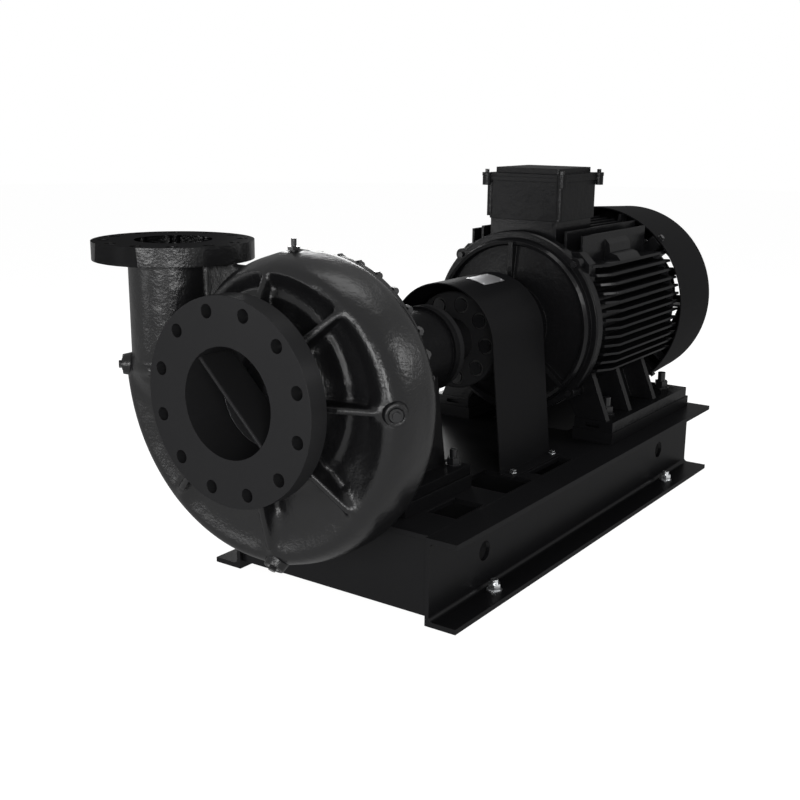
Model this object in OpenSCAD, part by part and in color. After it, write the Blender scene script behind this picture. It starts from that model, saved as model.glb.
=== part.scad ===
// Horizontal centrifugal pump set: volute pump, coupling and motor on a steel base.
// X points right seen from the suction side, Y runs along the shaft from suction to motor, Z up.
// The origin is the centre of the suction flange's face, on the shaft axis.

/* [Suction nozzle] */
// Bore of the suction nozzle
suction_bore_d = 203.2; // [190:0.1:210]
// Outer diameter of the suction flange
suction_flange_d = 381; // [370:1:392]
// Thickness of the suction flange
suction_flange_t = 41.1; // [32:0.1:46]
// Bolt circle of the suction flange
suction_pcd = 330.2; // [320:0.1:336]
// Bolt hole of the suction flange
suction_hole_d = 25.4; // [20:0.1:28]
// Number of bolts in the suction flange
suction_holes = 12; // [8:1:12]
// Wall of the suction nozzle
nozzle_wall = 20; // [16:1:24]
// Thickness of the flow splitter that is cast across the nozzle
splitter_t = 8; // [6:1:14]
// Depth of the flow splitter along the nozzle
splitter_depth = 82; // [60:1:88]

/* [Discharge nozzle] */
// Bore of the discharge nozzle
discharge_bore_d = 152.4; // [140:0.1:156]
// Outer diameter of the discharge flange
discharge_flange_d = 317.5; // [306:0.5:324]
// Thickness of the discharge flange
discharge_flange_t = 36.6; // [28:0.1:42]
// Bolt circle of the discharge flange
discharge_pcd = 269.9; // [262:0.1:276]
// Bolt hole of the discharge flange
discharge_hole_d = 22.4; // [18:0.1:24]
// Number of bolts in the discharge flange
discharge_holes = 12; // [8:1:12]
// Distance of the discharge axis from the shaft axis
discharge_off = 310; // [300:1:318]
// Height of the discharge face above the shaft axis
discharge_h = 250; // [244:1:290]

/* [Volute casing] */
// Radius of the volute at its top, just past the cutwater
volute_top_r = 250; // [246:1:256]
// Radius of the volute on its right side
volute_side_r = 290; // [284:1:300]
// Radius of the volute at its bottom
volute_bottom_r = 352; // [344:1:358]
// Width of the volute along the shaft, outside
volute_w = 160; // [154:1:164]
// Radius of the rounded shoulders of the volute
volute_round = 58; // [50:1:62]
// Distance from the suction face to the volute's mid plane
volute_y = 186; // [184:1:190]
// Casing wall
casing_wall = 14; // [11:1:17]
// Depth of the dished front wall behind the volute's shoulder
dish_depth = 12; // [8:1:16]
// Diameter of the raised disc round the suction nozzle
hub_disc_d = 368; // [340:2:380]
// How far the disc stands out of the dish
hub_disc_t = 6; // [4:0.5:8]
// Diameter of the rear flange that takes the back cover
rear_flange_d = 480; // [474:1:490]
// Bore of the rear opening
rear_bore_d = 411; // [404:1:416]
// Thickness of the radial ribs
rib_t = 14; // [10:1:18]
// Diameter of the bosses for the drain and gauge plugs
plug_boss_d = 36; // [30:1:42]
// Number of studs that hold the back cover
cover_studs = 32; // [24:1:32]
// Bolt circle of the back cover studs
cover_pcd = 456; // [452:1:458]
// Size of the back cover studs
cover_stud_d = 12; // [10:1:12]

/* [Impeller] */
// Impeller diameter
impeller_d = 384; // [370:1:390]
// Number of impeller vanes
vanes = 2; // [2:1:4]
// Angle that a vane wraps round the hub
vane_wrap = 175; // [120:5:200]
// Vane thickness
vane_t = 11; // [8:1:15]
// Thickness of the impeller's shrouds
shroud_t = 10; // [7:1:12]
// Radial clearance at the wear ring
wear_gap = 0.5; // [0.4:0.1:0.8]

/* [Pump shaft and bearings] */
// Shaft diameter at the bearings
pump_shaft_d = 55; // [53:1:56]
// Outer diameter of the pump bearings
pump_bearing_d = 120; // [116:1:124]
// Width of the pump bearings
pump_bearing_w = 29; // [26:1:31]
// Outer diameter of the bearing housing
housing_d = 174; // [168:1:178]
// Distance from the suction face to the front of the bearing housing
housing_y = 392; // [388:1:400]
// Distance from the suction face to the rear of the bearing housing
housing_end = 616; // [608:1:622]

/* [Coupling and guard] */
// Outer diameter of the coupling
coupling_d = 220; // [210:1:240]
// Number of coupling pins
coupling_pins = 9; // [6:1:9]
// Gap between the coupling halves
coupling_gap = 4; // [3:0.5:6]
// Outer radius of the guard's arch
guard_r = 135; // [130:1:140]
// Sheet of the guard
guard_t = 3; // [2:0.5:4]
// Length of the guard along the shaft
guard_len = 228; // [210:1:236]
// Half width of the guard where it meets the deck
guard_foot_x = 163; // [156:1:166]

/* [Motor] */
// Shaft height of the motor over its feet
motor_h = 250; // [248:1:254]
// Motor shaft diameter
motor_shaft_d = 65; // [60:1:66]
// Length of the motor shaft's free end
motor_shaft_len = 140; // [136:1:142]
// Distance between the feet's holes across the motor
foot_a = 406; // [400:1:412]
// Distance between the feet's holes along the motor
foot_b = 349; // [340:1:356]
// Outer diameter of the motor barrel
barrel_d = 424; // [416:1:430]
// Length of the finned barrel
barrel_len = 400; // [390:1:406]
// Pitch of the cooling fins
fin_pitch = 20.8; // [19.5:0.1:21]
// Thickness of a cooling fin
fin_t = 6; // [4:0.5:8]
// Distance from the shaft axis to the tips of the side fins
fin_reach = 243; // [238:1:246]
// Number of fins on each side
side_fins = 13; // [9:2:13]
// Height of the side fins' middle above the shaft
fin_mid = 23; // [18:1:24]
// Radius of the fan cowl's front edge
cowl_r = 257; // [252:1:262]
// Radius of the fan cowl's rear rim
cowl_end_r = 245; // [238:1:248]
// Length of the fan cowl
cowl_len = 252; // [240:1:260]
// Width of the terminal box across the motor
box_w = 196; // [180:1:206]
// Length of the terminal box along the motor
box_l = 190; // [180:1:200]
// Height of the terminal box without its lid
box_h = 102; // [90:1:115]

/* [Base frame] */
// Height of the side channels
channel_h = 180; // [170:1:190]
// Width of the side channels' flanges
channel_b = 70; // [60:1:80]
// Web thickness of the side channels
channel_web = 9; // [7:0.5:11]
// Flange thickness of the side channels
channel_flange = 10.5; // [8:0.5:13]
// Overall width of the base
base_w = 616; // [610:1:630]
// Length of the base
base_len = 1302; // [1290:1:1330]
// Distance from the suction face to the front of the base
base_y = 275; // [275:1:282]
// Thickness of the deck plates
deck_t = 10; // [8:1:12]
// Thickness of the pads under pump and motor
pad_t = 28; // [24:1:32]
// Diameter of the lifting holes in the side channels
lifting_d = 42; // [36:1:50]
// Distance between the lifting holes along the base
lifting_pitch = 899; // [880:1:910]

/* [Clearances] */
// Radial clearance of parts that are fitted together
fit = 0.1; // [0.05:0.01:0.15]
// Clearance between parts that turn and parts that stand still
run = 0.4; // [0.35:0.05:0.6]
// Radial clearance of bolts and studs in their holes
bolt_fit = 0.3; // [0.2:0.1:0.4]
// Thickness of the casing gasket
gasket_t = 1.5; // [1:0.5:2]

/* [Hidden] */
$fn = 96;
big = 1000;

// Volute: three arcs whose centres step apart, so that the radius grows clockwise from the cutwater
volute_left_r = discharge_off + discharge_bore_d / 2 + casing_wall;
arc_shift = (volute_side_r - volute_top_r) / 2;
arc1_r = (volute_side_r + volute_top_r) / 2;
arc2_r = volute_bottom_r - arc_shift;
arc2_step = arc2_r - arc1_r;
arc3_step = volute_left_r + arc_shift - arc2_step - arc2_r;
arc3_r = arc2_r + arc3_step;
arc1_c = [arc_shift, -arc_shift];
arc2_c = [arc_shift - arc2_step, -arc_shift];
arc3_c = [arc_shift - arc2_step, arc3_step - arc_shift];
arc4_r = volute_top_r - arc_shift;
arc4_c = [arc_shift, arc_shift];
volute_front = volute_y - volute_w / 2;
rear_face = volute_y + volute_w / 2;
dish_y = volute_front + dish_depth;
chamber_front = dish_y + casing_wall + 8;
hub_disc_y = dish_y - hub_disc_t;
nozzle_r = suction_bore_d / 2 + nozzle_wall;
nozzle_fillet = 38;
rear_flange_t = 20;
stud_depth = 12;
throat_side = discharge_bore_d / 2 + casing_wall;

// Impeller, from its eye at the front to the hub's back face
eye_r = suction_bore_d / 2 + 0.4;
eye_out_r = eye_r + 6;
ring_out_r = eye_out_r + wear_gap + 5;
ring_front = chamber_front - 43;
ring_len = 30;
impeller_front = ring_front + 2;
shroud_front = chamber_front + 6;
impeller_back = rear_face - 26;
hub_r = 42;
key_w = 12;
nut_front = impeller_back - 88;
hub_front = impeller_back - 64;

// Back cover, seal and gland
cover_y = rear_face + gasket_t;
cover_t = 20;
cover_back = cover_y + cover_t;
cover_front = impeller_back + 8;
cover_r = rear_flange_d / 2 - 4;
nose_d = pump_shaft_d - 5;
sleeve_r = pump_shaft_d / 2 + 5.5;
throat_r = sleeve_r + 3;
seal_bore_r = sleeve_r + 22;
gland_y = cover_back + 44;
gland_t = 16;
gland_r = seal_bore_r + 24;
sleeve_end = gland_y + gland_t + 8;

// Bearing frame and pump bearings
frame_flange_r = 158;
frame_flange_t = 16;
bell_r = 128;
bell_wall = 12;
bearing1_y = housing_y + 8;
bearing2_y = housing_end - 7 - pump_bearing_w;
cap_r = housing_d / 2 + 7;
cap_t = 24;
housing_r = housing_d / 2;
frame_bolt_r = 146;
pump_foot_x0 = 84;
pump_foot_x1 = 146;
pump_foot_y0 = 338;
pump_foot_y1 = 582;
pump_foot_t = 22;
frame_leg_y0 = housing_y + 4;
frame_leg_y1 = 556;
pump_bolt_x = 118;
pump_bolt_y = [374, 558];

// Coupling along the shaft
coupling_y = 735;
coupling_disc_t = 40;
coupling_hub_r = 50;
coupling_hub_y = 668;
motor_disc_y = coupling_y + coupling_disc_t + coupling_gap;
motor_disc_t = 24;
motor_hub_r = 60;
motor_hub_end = 908;
pin_r = 10;
bush_r = 19;
pin_pcd_r = coupling_d / 2 - 26;
pin_start = 37;
coupling_nose_d = pump_shaft_d - 5;

// Motor along the shaft
shaft_tip_y = 822;
shoulder_y = shaft_tip_y + motor_shaft_len;
first_foot_y = shoulder_y + 168;
shield_y = shoulder_y + 6;
barrel_y = shoulder_y + 78;
barrel_end = barrel_y + barrel_len;
barrel_r = barrel_d / 2;
bore_r = barrel_r - 17;
shield_rim_r = barrel_r + 12;
motor_seat_d = motor_shaft_d + 10;
motor_bearing_d = motor_seat_d + 66;
motor_bearing_w = 30;
bearing3_y = shield_y + 8;
bearing4_y = barrel_end + 7;
fan_shield_end = bearing4_y + motor_bearing_w + 8;
hub3_r = motor_bearing_d / 2 + 27;
cap3_t = 10;
core_y0 = barrel_y + 70;
core_y1 = barrel_end - 70;
core_bore_r = 120;
rotor_r = core_bore_r - 1.5;
fan_y = fan_shield_end + 18;
fan_len = 52;
fan_seat_d = 60;
fan_r = 178;
cowl_y = barrel_end + 6;
cowl_end = cowl_y + cowl_len;
cowl_t = 3;
lug_angles = [45, 135, 225, 315];
foot_y0 = first_foot_y - 72;
foot_y1 = first_foot_y + foot_b + 52;
foot_in_x = foot_a / 2 - 50;
foot_out_x = foot_a / 2 + 52;
foot_t = 26;
box_y = barrel_y + 1;
box_z = barrel_r + 36;
box_wall = 8;
lid_t = 8;

// Base frame
base_top = -motor_h - pad_t;
base_bottom = base_top - channel_h;
web_x = base_w / 2 - channel_b;
base_end = base_y + base_len;
member_b = 60;
member_t = 8;
member_bottom = base_bottom + 15;
deck_bottom = base_top - deck_t;
member_y = [base_y + 10, 512, 716, 905, base_end - member_b - 10];
foundation_d = 16;
foundation_x = base_w / 2 - 36;
lifting_y = [base_y + 205, base_y + 205 + lifting_pitch];
foundation_y = lifting_y;
guard_y = 684;
guard_flange = 30;
guard_screw_y = [guard_y + 30, guard_y + guard_len - 14];

// Shared shapes

module turn(a) {
    rotate([0, -a, 0])
        children();
}

module revolve(angle = 360) {
    rotate([90, 0, 0])
        rotate_extrude(angle = angle)
            mirror([0, 1, 0])
                children();
}

module ycyl(d, y0, y1) {
    translate([0, y0, 0])
        rotate([-90, 0, 0])
            cylinder(d = d, h = y1 - y0);
}

module zcyl(d, z0, z1) {
    translate([0, 0, z0])
        cylinder(d = d, h = z1 - z0);
}

module ring(r0, r1, y0, y1) {
    revolve()
        translate([r0, y0])
            square([r1 - r0, y1 - y0]);
}

module on_circle(count, r, start = 0) {
    for (i = [0 : count - 1])
        turn(start + i * 360 / count)
            translate([r, 0, 0])
                children();
}

module both_sides() {
    children();
    mirror([1, 0, 0])
        children();
}

// A hexagon nut or head along Y
module hex_y(across, y0, y1) {
    translate([0, y0, 0])
        rotate([-90, 0, 0])
            cylinder(d = across / cos(30), h = y1 - y0, $fn = 6);
}

// A hexagon nut or head along Z
module hex_z(across, z0, z1) {
    translate([0, 0, z0])
        cylinder(d = across / cos(30), h = z1 - z0, $fn = 6);
}

// A bolt that stands up through a foot, with its washer and nut
module foot_stud(d, z0, seat) {
    zcyl(d, z0, seat + 2.2 * d);
    zcyl(2.1 * d, seat, seat + 0.16 * d);
    hex_z(1.55 * d, seat + 0.16 * d, seat + 1.05 * d);
}

// A box from its lowest to its highest corner
module span(low, high) {
    translate(low)
        cube(high - low);
}

// Base frame

// One rolled channel on the right side, its flanges pointing outwards
module channel_profile() {
    difference() {
        translate([web_x, base_bottom])
            square([channel_b, channel_h]);
        translate([web_x + channel_web, base_bottom + channel_flange])
            square([channel_b, channel_h - 2 * channel_flange]);
    }
    for (low = [0, 1])
        translate([web_x + channel_web, low ? base_bottom + channel_flange : base_top - channel_flange])
            mirror([0, low ? 0 : 1])
                difference() {
                    square(9);
                    translate([9, 9])
                        circle(r = 9);
                }
}

module side_channels() {
    color("#1c1d1f")
        both_sides()
            difference() {
                translate([0, base_end, 0])
                    rotate([90, 0, 0])
                        linear_extrude(base_len)
                            channel_profile();
                for (y = lifting_y)
                    translate([web_x - 1, y, base_top - channel_h / 2])
                        rotate([0, 90, 0])
                            cylinder(d = lifting_d, h = channel_web + 2);
                for (y = foundation_y)
                    translate([foundation_x, y, 0])
                        zcyl(foundation_d + 2 * bolt_fit, base_bottom - 1, base_bottom + 20);
                motor_bolt_holes();
            }
}

module motor_bolt_holes() {
    for (y = [first_foot_y, first_foot_y + foot_b], side = [-1, 1])
        translate([side * foot_a / 2, y, 0])
            zcyl(24, base_top - 30, -motor_h + foot_t + 1);
}

// Channels that lie across the frame under the deck, their flanges towards the rear
module cross_members() {
    color("#1c1d1f")
        for (y = member_y)
            difference() {
                span([-web_x, y, member_bottom], [web_x, y + member_b, deck_bottom]);
                span([-web_x - 1, y + member_t, member_bottom + member_t],
                     [web_x + 1, y + member_b + 1, deck_bottom - member_t]);
            }
}

module deck_plate() {
    color("#1c1d1f")
        difference() {
            span([-web_x, base_y + 10, deck_bottom], [web_x, base_end, base_top]);
            both_sides() {
                span([160, 395, deck_bottom - 1], [230, 500, base_top + 1]);
                span([112, 588, deck_bottom - 1], [232, 704, base_top + 1]);
                span([guard_foot_x + guard_flange + 5, 744, deck_bottom - 1], [231, 893, base_top + 1]);
            }
            span([-110, 1110, deck_bottom - 1], [110, 1490, base_top + 1]);
            pump_bolt_holes();
            motor_bolt_holes();
            guard_bolt_holes();
        }
}

module pump_bolt_holes() {
    for (y = pump_bolt_y, side = [-1, 1])
        translate([side * pump_bolt_x, y, 0])
            zcyl(16 + 2 * bolt_fit, deck_bottom - 1, -motor_h + pump_foot_t + 1);
}

module pump_pads() {
    color("#1c1d1f")
        difference() {
            both_sides()
                span([pump_foot_x0 - 2, pump_foot_y0 - 2, base_top], [pump_foot_x1 + 4, pump_foot_y1, -motor_h]);
            pump_bolt_holes();
        }
}

module motor_pads() {
    color("#1c1d1f")
        difference() {
            both_sides()
                span([foot_in_x - 4, foot_y0 - 2, base_top], [foot_out_x + 2, foot_y1 + 12, -motor_h]);
            motor_bolt_holes();
        }
}

// Bolts through the lower flanges, with a plain washer and a nut each
module foundation_bolts() {
    seat = base_bottom + channel_flange;
    color("#c9cacb")
        both_sides()
            for (y = foundation_y)
                translate([foundation_x, y, 0]) {
                    zcyl(foundation_d, base_bottom, seat + 24);
                    zcyl(32, seat, seat + 3);
                    hex_z(24, seat + 3, seat + 16);
                }
}

// Pump casing

// Section of one volute arc, given as radius and distance along the shaft.
// inset moves the whole outline inwards by a wall.
module volute_section(r, inset) {
    round = volute_round - inset;
    translate([r - volute_round, rear_face - volute_round])
        circle(r = round);
    if (inset > 0) {
        translate([r - volute_round, chamber_front + round])
            circle(r = round);
        translate([60, chamber_front + round])
            square([r - inset - 60, rear_face - volute_round - chamber_front - round]);
        translate([60, chamber_front])
            square([r - volute_round - 60, rear_face - inset - chamber_front]);
    } else
        // A low dish, a narrow ridge round it and a flatter shoulder outside
        polygon([
            [60, dish_y], [r - ridge_in - 27, dish_y], [r - ridge_in - 7, volute_front + 2],
            [r - ridge_in, volute_front], [r - ridge_in + 7, volute_front + 2],
            [r - 7, volute_front + 25], [r, volute_front + 52], [r, rear_face - volute_round],
            [r - volute_round, rear_face], [60, rear_face]
        ]);
}

module volute_arc(centre, r, start, inset) {
    translate([centre[0], 0, centre[1]])
        turn(start)
            revolve(90)
                volute_section(r, inset);
}

module volute_arcs(inset) {
    volute_arc(arc1_c, arc1_r, 0, inset);
    volute_arc(arc2_c, arc2_r, -90, inset);
    volute_arc(arc3_c, arc3_r, -180, inset);
    volute_arc(arc4_c, arc4_r, 90, inset);
}

// Distance from the shaft axis to the outline of arc c, r along the direction a
function reach(c, r, a) =
    let (along = c[0] * cos(a) + c[1] * sin(a))
    along + sqrt(along * along - c[0] * c[0] - c[1] * c[1] + r * r);

// Outer radius of the volute along the direction a, in degrees from +X towards +Z
function volute_r(a) =
    a > 90 ? reach(arc4_c, arc4_r, a) :
    a >= 0 ? reach(arc1_c, arc1_r, a) :
    a >= -90 ? reach(arc2_c, arc2_r, a) :
    reach(arc3_c, arc3_r, a);

// Rib that runs from the nozzle up to the volute's shoulder
module casing_rib(a) {
    top = volute_r(a) - ridge_in - 3;
    turn(a)
        translate([0, 0, -rib_t / 2])
            linear_extrude(rib_t)
                polygon([
                    [nozzle_r - 4, suction_flange_t + 14], [nozzle_r + 12, suction_flange_t + 14],
                    [top - 6, volute_front - 3], [top + 6, volute_front + 2],
                    [top + 6, dish_y + 4], [nozzle_r - 4, dish_y + 4]
                ]);
}

// Places a boss on the volute's front shoulder, its axis half way between outwards and forwards
module on_shoulder(a, tilt = 45) {
    turn(a)
        translate([volute_r(a) - volute_round, volute_front + volute_round, 0])
            rotate([0, 0, -tilt])
                rotate([0, 90, 0])
                    children();
}

module at_discharge() {
    translate([-discharge_off, volute_y, 0])
        children();
}

ridge_in = 27;
plug_angles = [0, -90, -180];
boss_out = volute_round + 10;

module casing_solid() {
    revolve() {
        square([nozzle_r, dish_y + 2]);
        translate([0, dish_y])
            square([rear_bore_d / 2 + 12, rear_face - dish_y]);
        polygon([
            [0, hub_disc_y], [hub_disc_d / 2 - 4, hub_disc_y], [hub_disc_d / 2, hub_disc_y + 4],
            [hub_disc_d / 2, dish_y + 1], [0, dish_y + 1]
        ]);
        translate([nozzle_r, hub_disc_y - nozzle_fillet])
            difference() {
                square(nozzle_fillet);
                translate([nozzle_fillet, 0])
                    circle(r = nozzle_fillet);
            }
        translate([0, rear_face - rear_flange_t])
            square([rear_flange_d / 2, rear_flange_t]);
    }
    volute_arcs(0);
    for (a = [-135 : 45 : 135])
        casing_rib(a);
    casing_rib(-180);
    for (a = plug_angles)
        on_shoulder(a)
            zcyl(plug_boss_d, 10, boss_out);
    translate([0, volute_y, 0])
        zcyl(54, volute_r(90) - 30, volute_r(90) + 3);
    at_discharge() {
        zcyl(2 * throat_side, 0, discharge_h - 1);
        sphere(r = throat_side);
    }
    // Web between the discharge pipe and the casing, under the flange
    translate([0, volute_y + rib_t / 2, 0])
        rotate([90, 0, 0])
            linear_extrude(rib_t)
                polygon([
                    [-discharge_off + throat_side - 6, 60],
                    [-discharge_off + throat_side - 6, discharge_h - discharge_flange_t + 1],
                    [-110, discharge_h - discharge_flange_t + 1], [-60, 150]
                ]);
}

module casing_hollow() {
    ycyl(suction_bore_d, -1, ring_front + 1);
    ring(0, ring_out_r, ring_front, chamber_front + 1);
    ring(0, rear_bore_d / 2, chamber_front, rear_face + 1);
    volute_arcs(casing_wall);
    at_discharge() {
        zcyl(discharge_bore_d, 0, discharge_h + 1);
        sphere(d = discharge_bore_d);
    }
    for (a = plug_angles)
        on_shoulder(a)
            zcyl(16, 20, boss_out + 1);
    translate([0, volute_y, 0])
        zcyl(16, volute_r(90) - 40, volute_r(90) + 4);
    on_circle(cover_studs, cover_pcd / 2, 180 / cover_studs)
        ycyl(cover_stud_d + 2 * bolt_fit, rear_face - stud_depth, rear_face + 1);
}

// Plate that splits the flow before the impeller, with a rounded leading edge
module flow_splitter() {
    half = suction_bore_d / 2 + 3;
    turn(135) {
        span([-half, 8 + splitter_t / 2, -splitter_t / 2], [half, 8 + splitter_depth, splitter_t / 2]);
        translate([-half, 8 + splitter_t / 2, 0])
            rotate([0, 90, 0])
                cylinder(d = splitter_t, h = 2 * half);
    }
}

module volute_casing() {
    color("#1b1c1e") {
        difference() {
            union() {
                casing_solid();
                ycyl(suction_flange_d, 0, suction_flange_t);
                at_discharge()
                    zcyl(discharge_flange_d, discharge_h - discharge_flange_t, discharge_h);
            }
            casing_hollow();
            on_circle(suction_holes, suction_pcd / 2, 180 / suction_holes)
                ycyl(suction_hole_d, -1, suction_flange_t + 1);
            at_discharge()
                for (i = [0 : discharge_holes - 1])
                    rotate([0, 0, (i + 0.5) * 360 / discharge_holes])
                        translate([discharge_pcd / 2, 0, 0])
                            zcyl(discharge_hole_d, discharge_h - discharge_flange_t - 1, discharge_h + 1);
        }
        flow_splitter();
    }
}

module casing_wear_ring() {
    color("#8c8f92")
        ring(eye_out_r + wear_gap, ring_out_r - fit, ring_front, ring_front + ring_len);
}

module casing_gasket() {
    color("#5c6b55")
        difference() {
            ring(rear_bore_d / 2, rear_flange_d / 2 - 4, rear_face, cover_y);
            on_circle(cover_studs, cover_pcd / 2, 180 / cover_studs)
                ycyl(cover_stud_d + 2 * bolt_fit, rear_face - 1, cover_y + 1);
        }
}

module back_cover() {
    spigot_r = rear_bore_d / 2 - fit;
    color("#1b1c1e")
        difference() {
            revolve()
                polygon([
                    [throat_r, cover_front], [spigot_r, cover_front], [spigot_r, cover_y],
                    [cover_r, cover_y], [cover_r, cover_back], [cover_r - 26, cover_back],
                    [cover_r - 34, cover_front + 16], [frame_flange_r + 10, cover_front + 16],
                    [frame_flange_r + 4, cover_back], [gland_r + 10, cover_back],
                    [gland_r, cover_back + 10], [gland_r, gland_y], [seal_bore_r, gland_y],
                    [seal_bore_r, cover_front + 16], [throat_r, cover_front + 16]
                ]);
            on_circle(cover_studs, cover_pcd / 2, 180 / cover_studs)
                ycyl(cover_stud_d + 2 * bolt_fit, cover_y - 1, cover_back + 1);
            on_circle(8, frame_bolt_r, 22.5)
                ycyl(12 + 2 * bolt_fit, cover_back - 18, cover_back + 1);
            on_circle(4, seal_bore_r + 13, 45)
                ycyl(10 + 2 * bolt_fit, gland_y - 20, gland_y + 1);
        }
}

module cover_stud_set() {
    color("#26272a")
        on_circle(cover_studs, cover_pcd / 2, 180 / cover_studs) {
            ycyl(cover_stud_d, rear_face - stud_depth, cover_back + cover_stud_d + 6);
            hex_y(1.5 * cover_stud_d, cover_back, cover_back + cover_stud_d - 1);
        }
}

module casing_plugs() {
    color("#3a3b3d")
        for (a = plug_angles)
            on_shoulder(a) {
                zcyl(16 - 2 * bolt_fit, boss_out - 26, boss_out);
                zcyl(24, boss_out, boss_out + 5);
                hex_z(14, boss_out + 5, boss_out + 11);
            }
}

module air_vent() {
    top = volute_r(90) + 3;
    color("#2a2b2d")
        translate([0, volute_y, 0]) {
            zcyl(16 - 2 * bolt_fit, top - 24, top);
            hex_z(21, top, top + 6);
            zcyl(10, top + 6, top + 21);
        }
}

// Impeller and shaft

// Points along one face of a vane, as a spiral whose radius grows by the same share each degree
function spiral(r0, r1, wrap, shift, n = 20) =
    [for (i = [0 : n])
        let (t = i / n, r = r0 * pow(r1 / r0, t), a = wrap * t + shift / r * 180 / PI)
        [r * cos(a), r * sin(a)]];

function reversed(p) = [for (i = [len(p) - 1 : -1 : 0]) p[i]];

module vane(a) {
    outer = impeller_d / 2 + 2;
    turn(a)
        translate([0, impeller_back, 0])
            rotate([90, 0, 0])
                linear_extrude(impeller_back - impeller_front)
                    polygon(concat(
                        spiral(hub_r + 12, outer, vane_wrap, vane_t / 2),
                        reversed(spiral(hub_r + 12, outer, vane_wrap, -vane_t / 2))
                    ));
}

module impeller() {
    outer = impeller_d / 2;
    color("#6d6f72")
        difference() {
            union() {
                revolve()
                    polygon([
                        [eye_r, impeller_front], [eye_out_r, impeller_front],
                        [eye_out_r, shroud_front], [outer, shroud_front + 8],
                        [outer, shroud_front + 8 + shroud_t],
                        [eye_r + 14, shroud_front + shroud_t + 2], [eye_r, shroud_front]
                    ]);
                revolve()
                    polygon([
                        [0, hub_front], [hub_r - 8, hub_front], [hub_r, hub_front + 8],
                        [hub_r + 4, impeller_back - 34],
                        [hub_r + 34, impeller_back - shroud_t - 6],
                        [outer, impeller_back - shroud_t], [outer, impeller_back],
                        [0, impeller_back]
                    ]);
                intersection() {
                    union()
                        for (i = [0 : vanes - 1])
                            vane(i * 360 / vanes + 30);
                    revolve()
                        polygon([
                            [hub_r - 4, shroud_front - 22], [eye_r + 1, shroud_front - 6],
                            [eye_r + 1, shroud_front + 2], [outer, shroud_front + 12],
                            [outer, impeller_back - 4], [hub_r - 4, impeller_back - 4]
                        ]);
                }
            }
            ycyl(nose_d + 2 * fit, hub_front - 1, impeller_back + 1);
            impeller_keyway();
        }
}

module impeller_keyway() {
    span([-key_w / 2 - fit, hub_front + 6, nose_d / 2 - 6], [key_w / 2 + fit, impeller_back - 6, nose_d / 2 + 5]);
}

module impeller_key() {
    color("#9a9c9e")
        span([-key_w / 2, hub_front + 7, nose_d / 2 - 6 + fit], [key_w / 2, impeller_back - 7, nose_d / 2 + 5 - fit]);
}

module impeller_nut() {
    color("#8c8f92")
        difference() {
            revolve()
                polygon([
                    [0, nut_front - 12], [14, nut_front - 9], [26, nut_front + 4],
                    [nose_d / 2 + 7, hub_front - 4], [nose_d / 2 + 7, hub_front], [0, hub_front]
                ]);
            ycyl(nose_d - 10 + 2 * fit, nut_front + 4, hub_front + 1);
        }
}

module pump_shaft() {
    seat = pump_shaft_d / 2;
    end = coupling_y + coupling_disc_t;
    color("#a5a8ab")
        difference() {
            revolve()
                polygon([
                    [0, nut_front + 6], [nose_d / 2 - 5, nut_front + 6],
                    [nose_d / 2 - 5, hub_front], [nose_d / 2, hub_front],
                    [nose_d / 2, impeller_back], [seat, impeller_back],
                    [seat, bearing1_y + pump_bearing_w],
                    [seat + 5.5, bearing1_y + pump_bearing_w], [seat + 5.5, bearing2_y],
                    [seat, bearing2_y], [seat, housing_end + cap_t + 8],
                    [coupling_nose_d / 2, housing_end + cap_t + 8], [coupling_nose_d / 2, end],
                    [0, end]
                ]);
            impeller_keyway();
        }
}

module shaft_sleeve() {
    color("#b5b7ba")
        ring(pump_shaft_d / 2 + fit, sleeve_r, impeller_back, sleeve_end);
}

seal_face_y = gland_y - 14;

// Rotating head of the mechanical seal, with its drive collar and ring
module seal_head() {
    color("#77797c")
        revolve()
            polygon([
                [sleeve_r + fit, cover_front + 24], [sleeve_r + 14, cover_front + 24],
                [sleeve_r + 14, seal_face_y - 14], [sleeve_r + 9, seal_face_y - 12],
                [sleeve_r + 9, seal_face_y - run], [sleeve_r + fit, seal_face_y - run]
            ]);
}

module seal_seat() {
    color("#3c3d40")
        ring(sleeve_r + 2, seal_bore_r - 2, seal_face_y, gland_y);
}

module gland_plate() {
    color("#85888b")
        difference() {
            ring(sleeve_r + 2, gland_r, gland_y, gland_y + gland_t);
            on_circle(4, seal_bore_r + 13, 45)
                ycyl(10 + 2 * bolt_fit, gland_y - 1, gland_y + gland_t + 1);
        }
}

module gland_bolts() {
    color("#9a9c9e")
        on_circle(4, seal_bore_r + 13, 45) {
            ycyl(10, gland_y - 18, gland_y + gland_t + 12);
            hex_y(16, gland_y + gland_t, gland_y + gland_t + 8);
        }
}

// Bearing frame

module frame_leg_profile() {
    polygon([
        [housing_r * 0.62, -housing_r * 0.62], [housing_r * 0.86, -housing_r * 0.34],
        [pump_foot_x0 + 15, -motor_h + pump_foot_t - 1],
        [pump_foot_x0 - 2, -motor_h + pump_foot_t - 1], [pump_foot_x0 - 2, -motor_h + 40]
    ]);
}

module frame_cross_web(y, t) {
    translate([0, y + t, 0])
        rotate([90, 0, 0])
            linear_extrude(t)
                difference() {
                    polygon([
                        [-housing_r * 0.8, -20], [housing_r * 0.8, -20],
                        [pump_foot_x0 + 14, -motor_h + pump_foot_t - 1],
                        [-pump_foot_x0 - 14, -motor_h + pump_foot_t - 1]
                    ]);
                    circle(r = housing_r - 6);
                    translate([0, -motor_h + 10])
                        circle(r = 76);
                }
}

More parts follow.
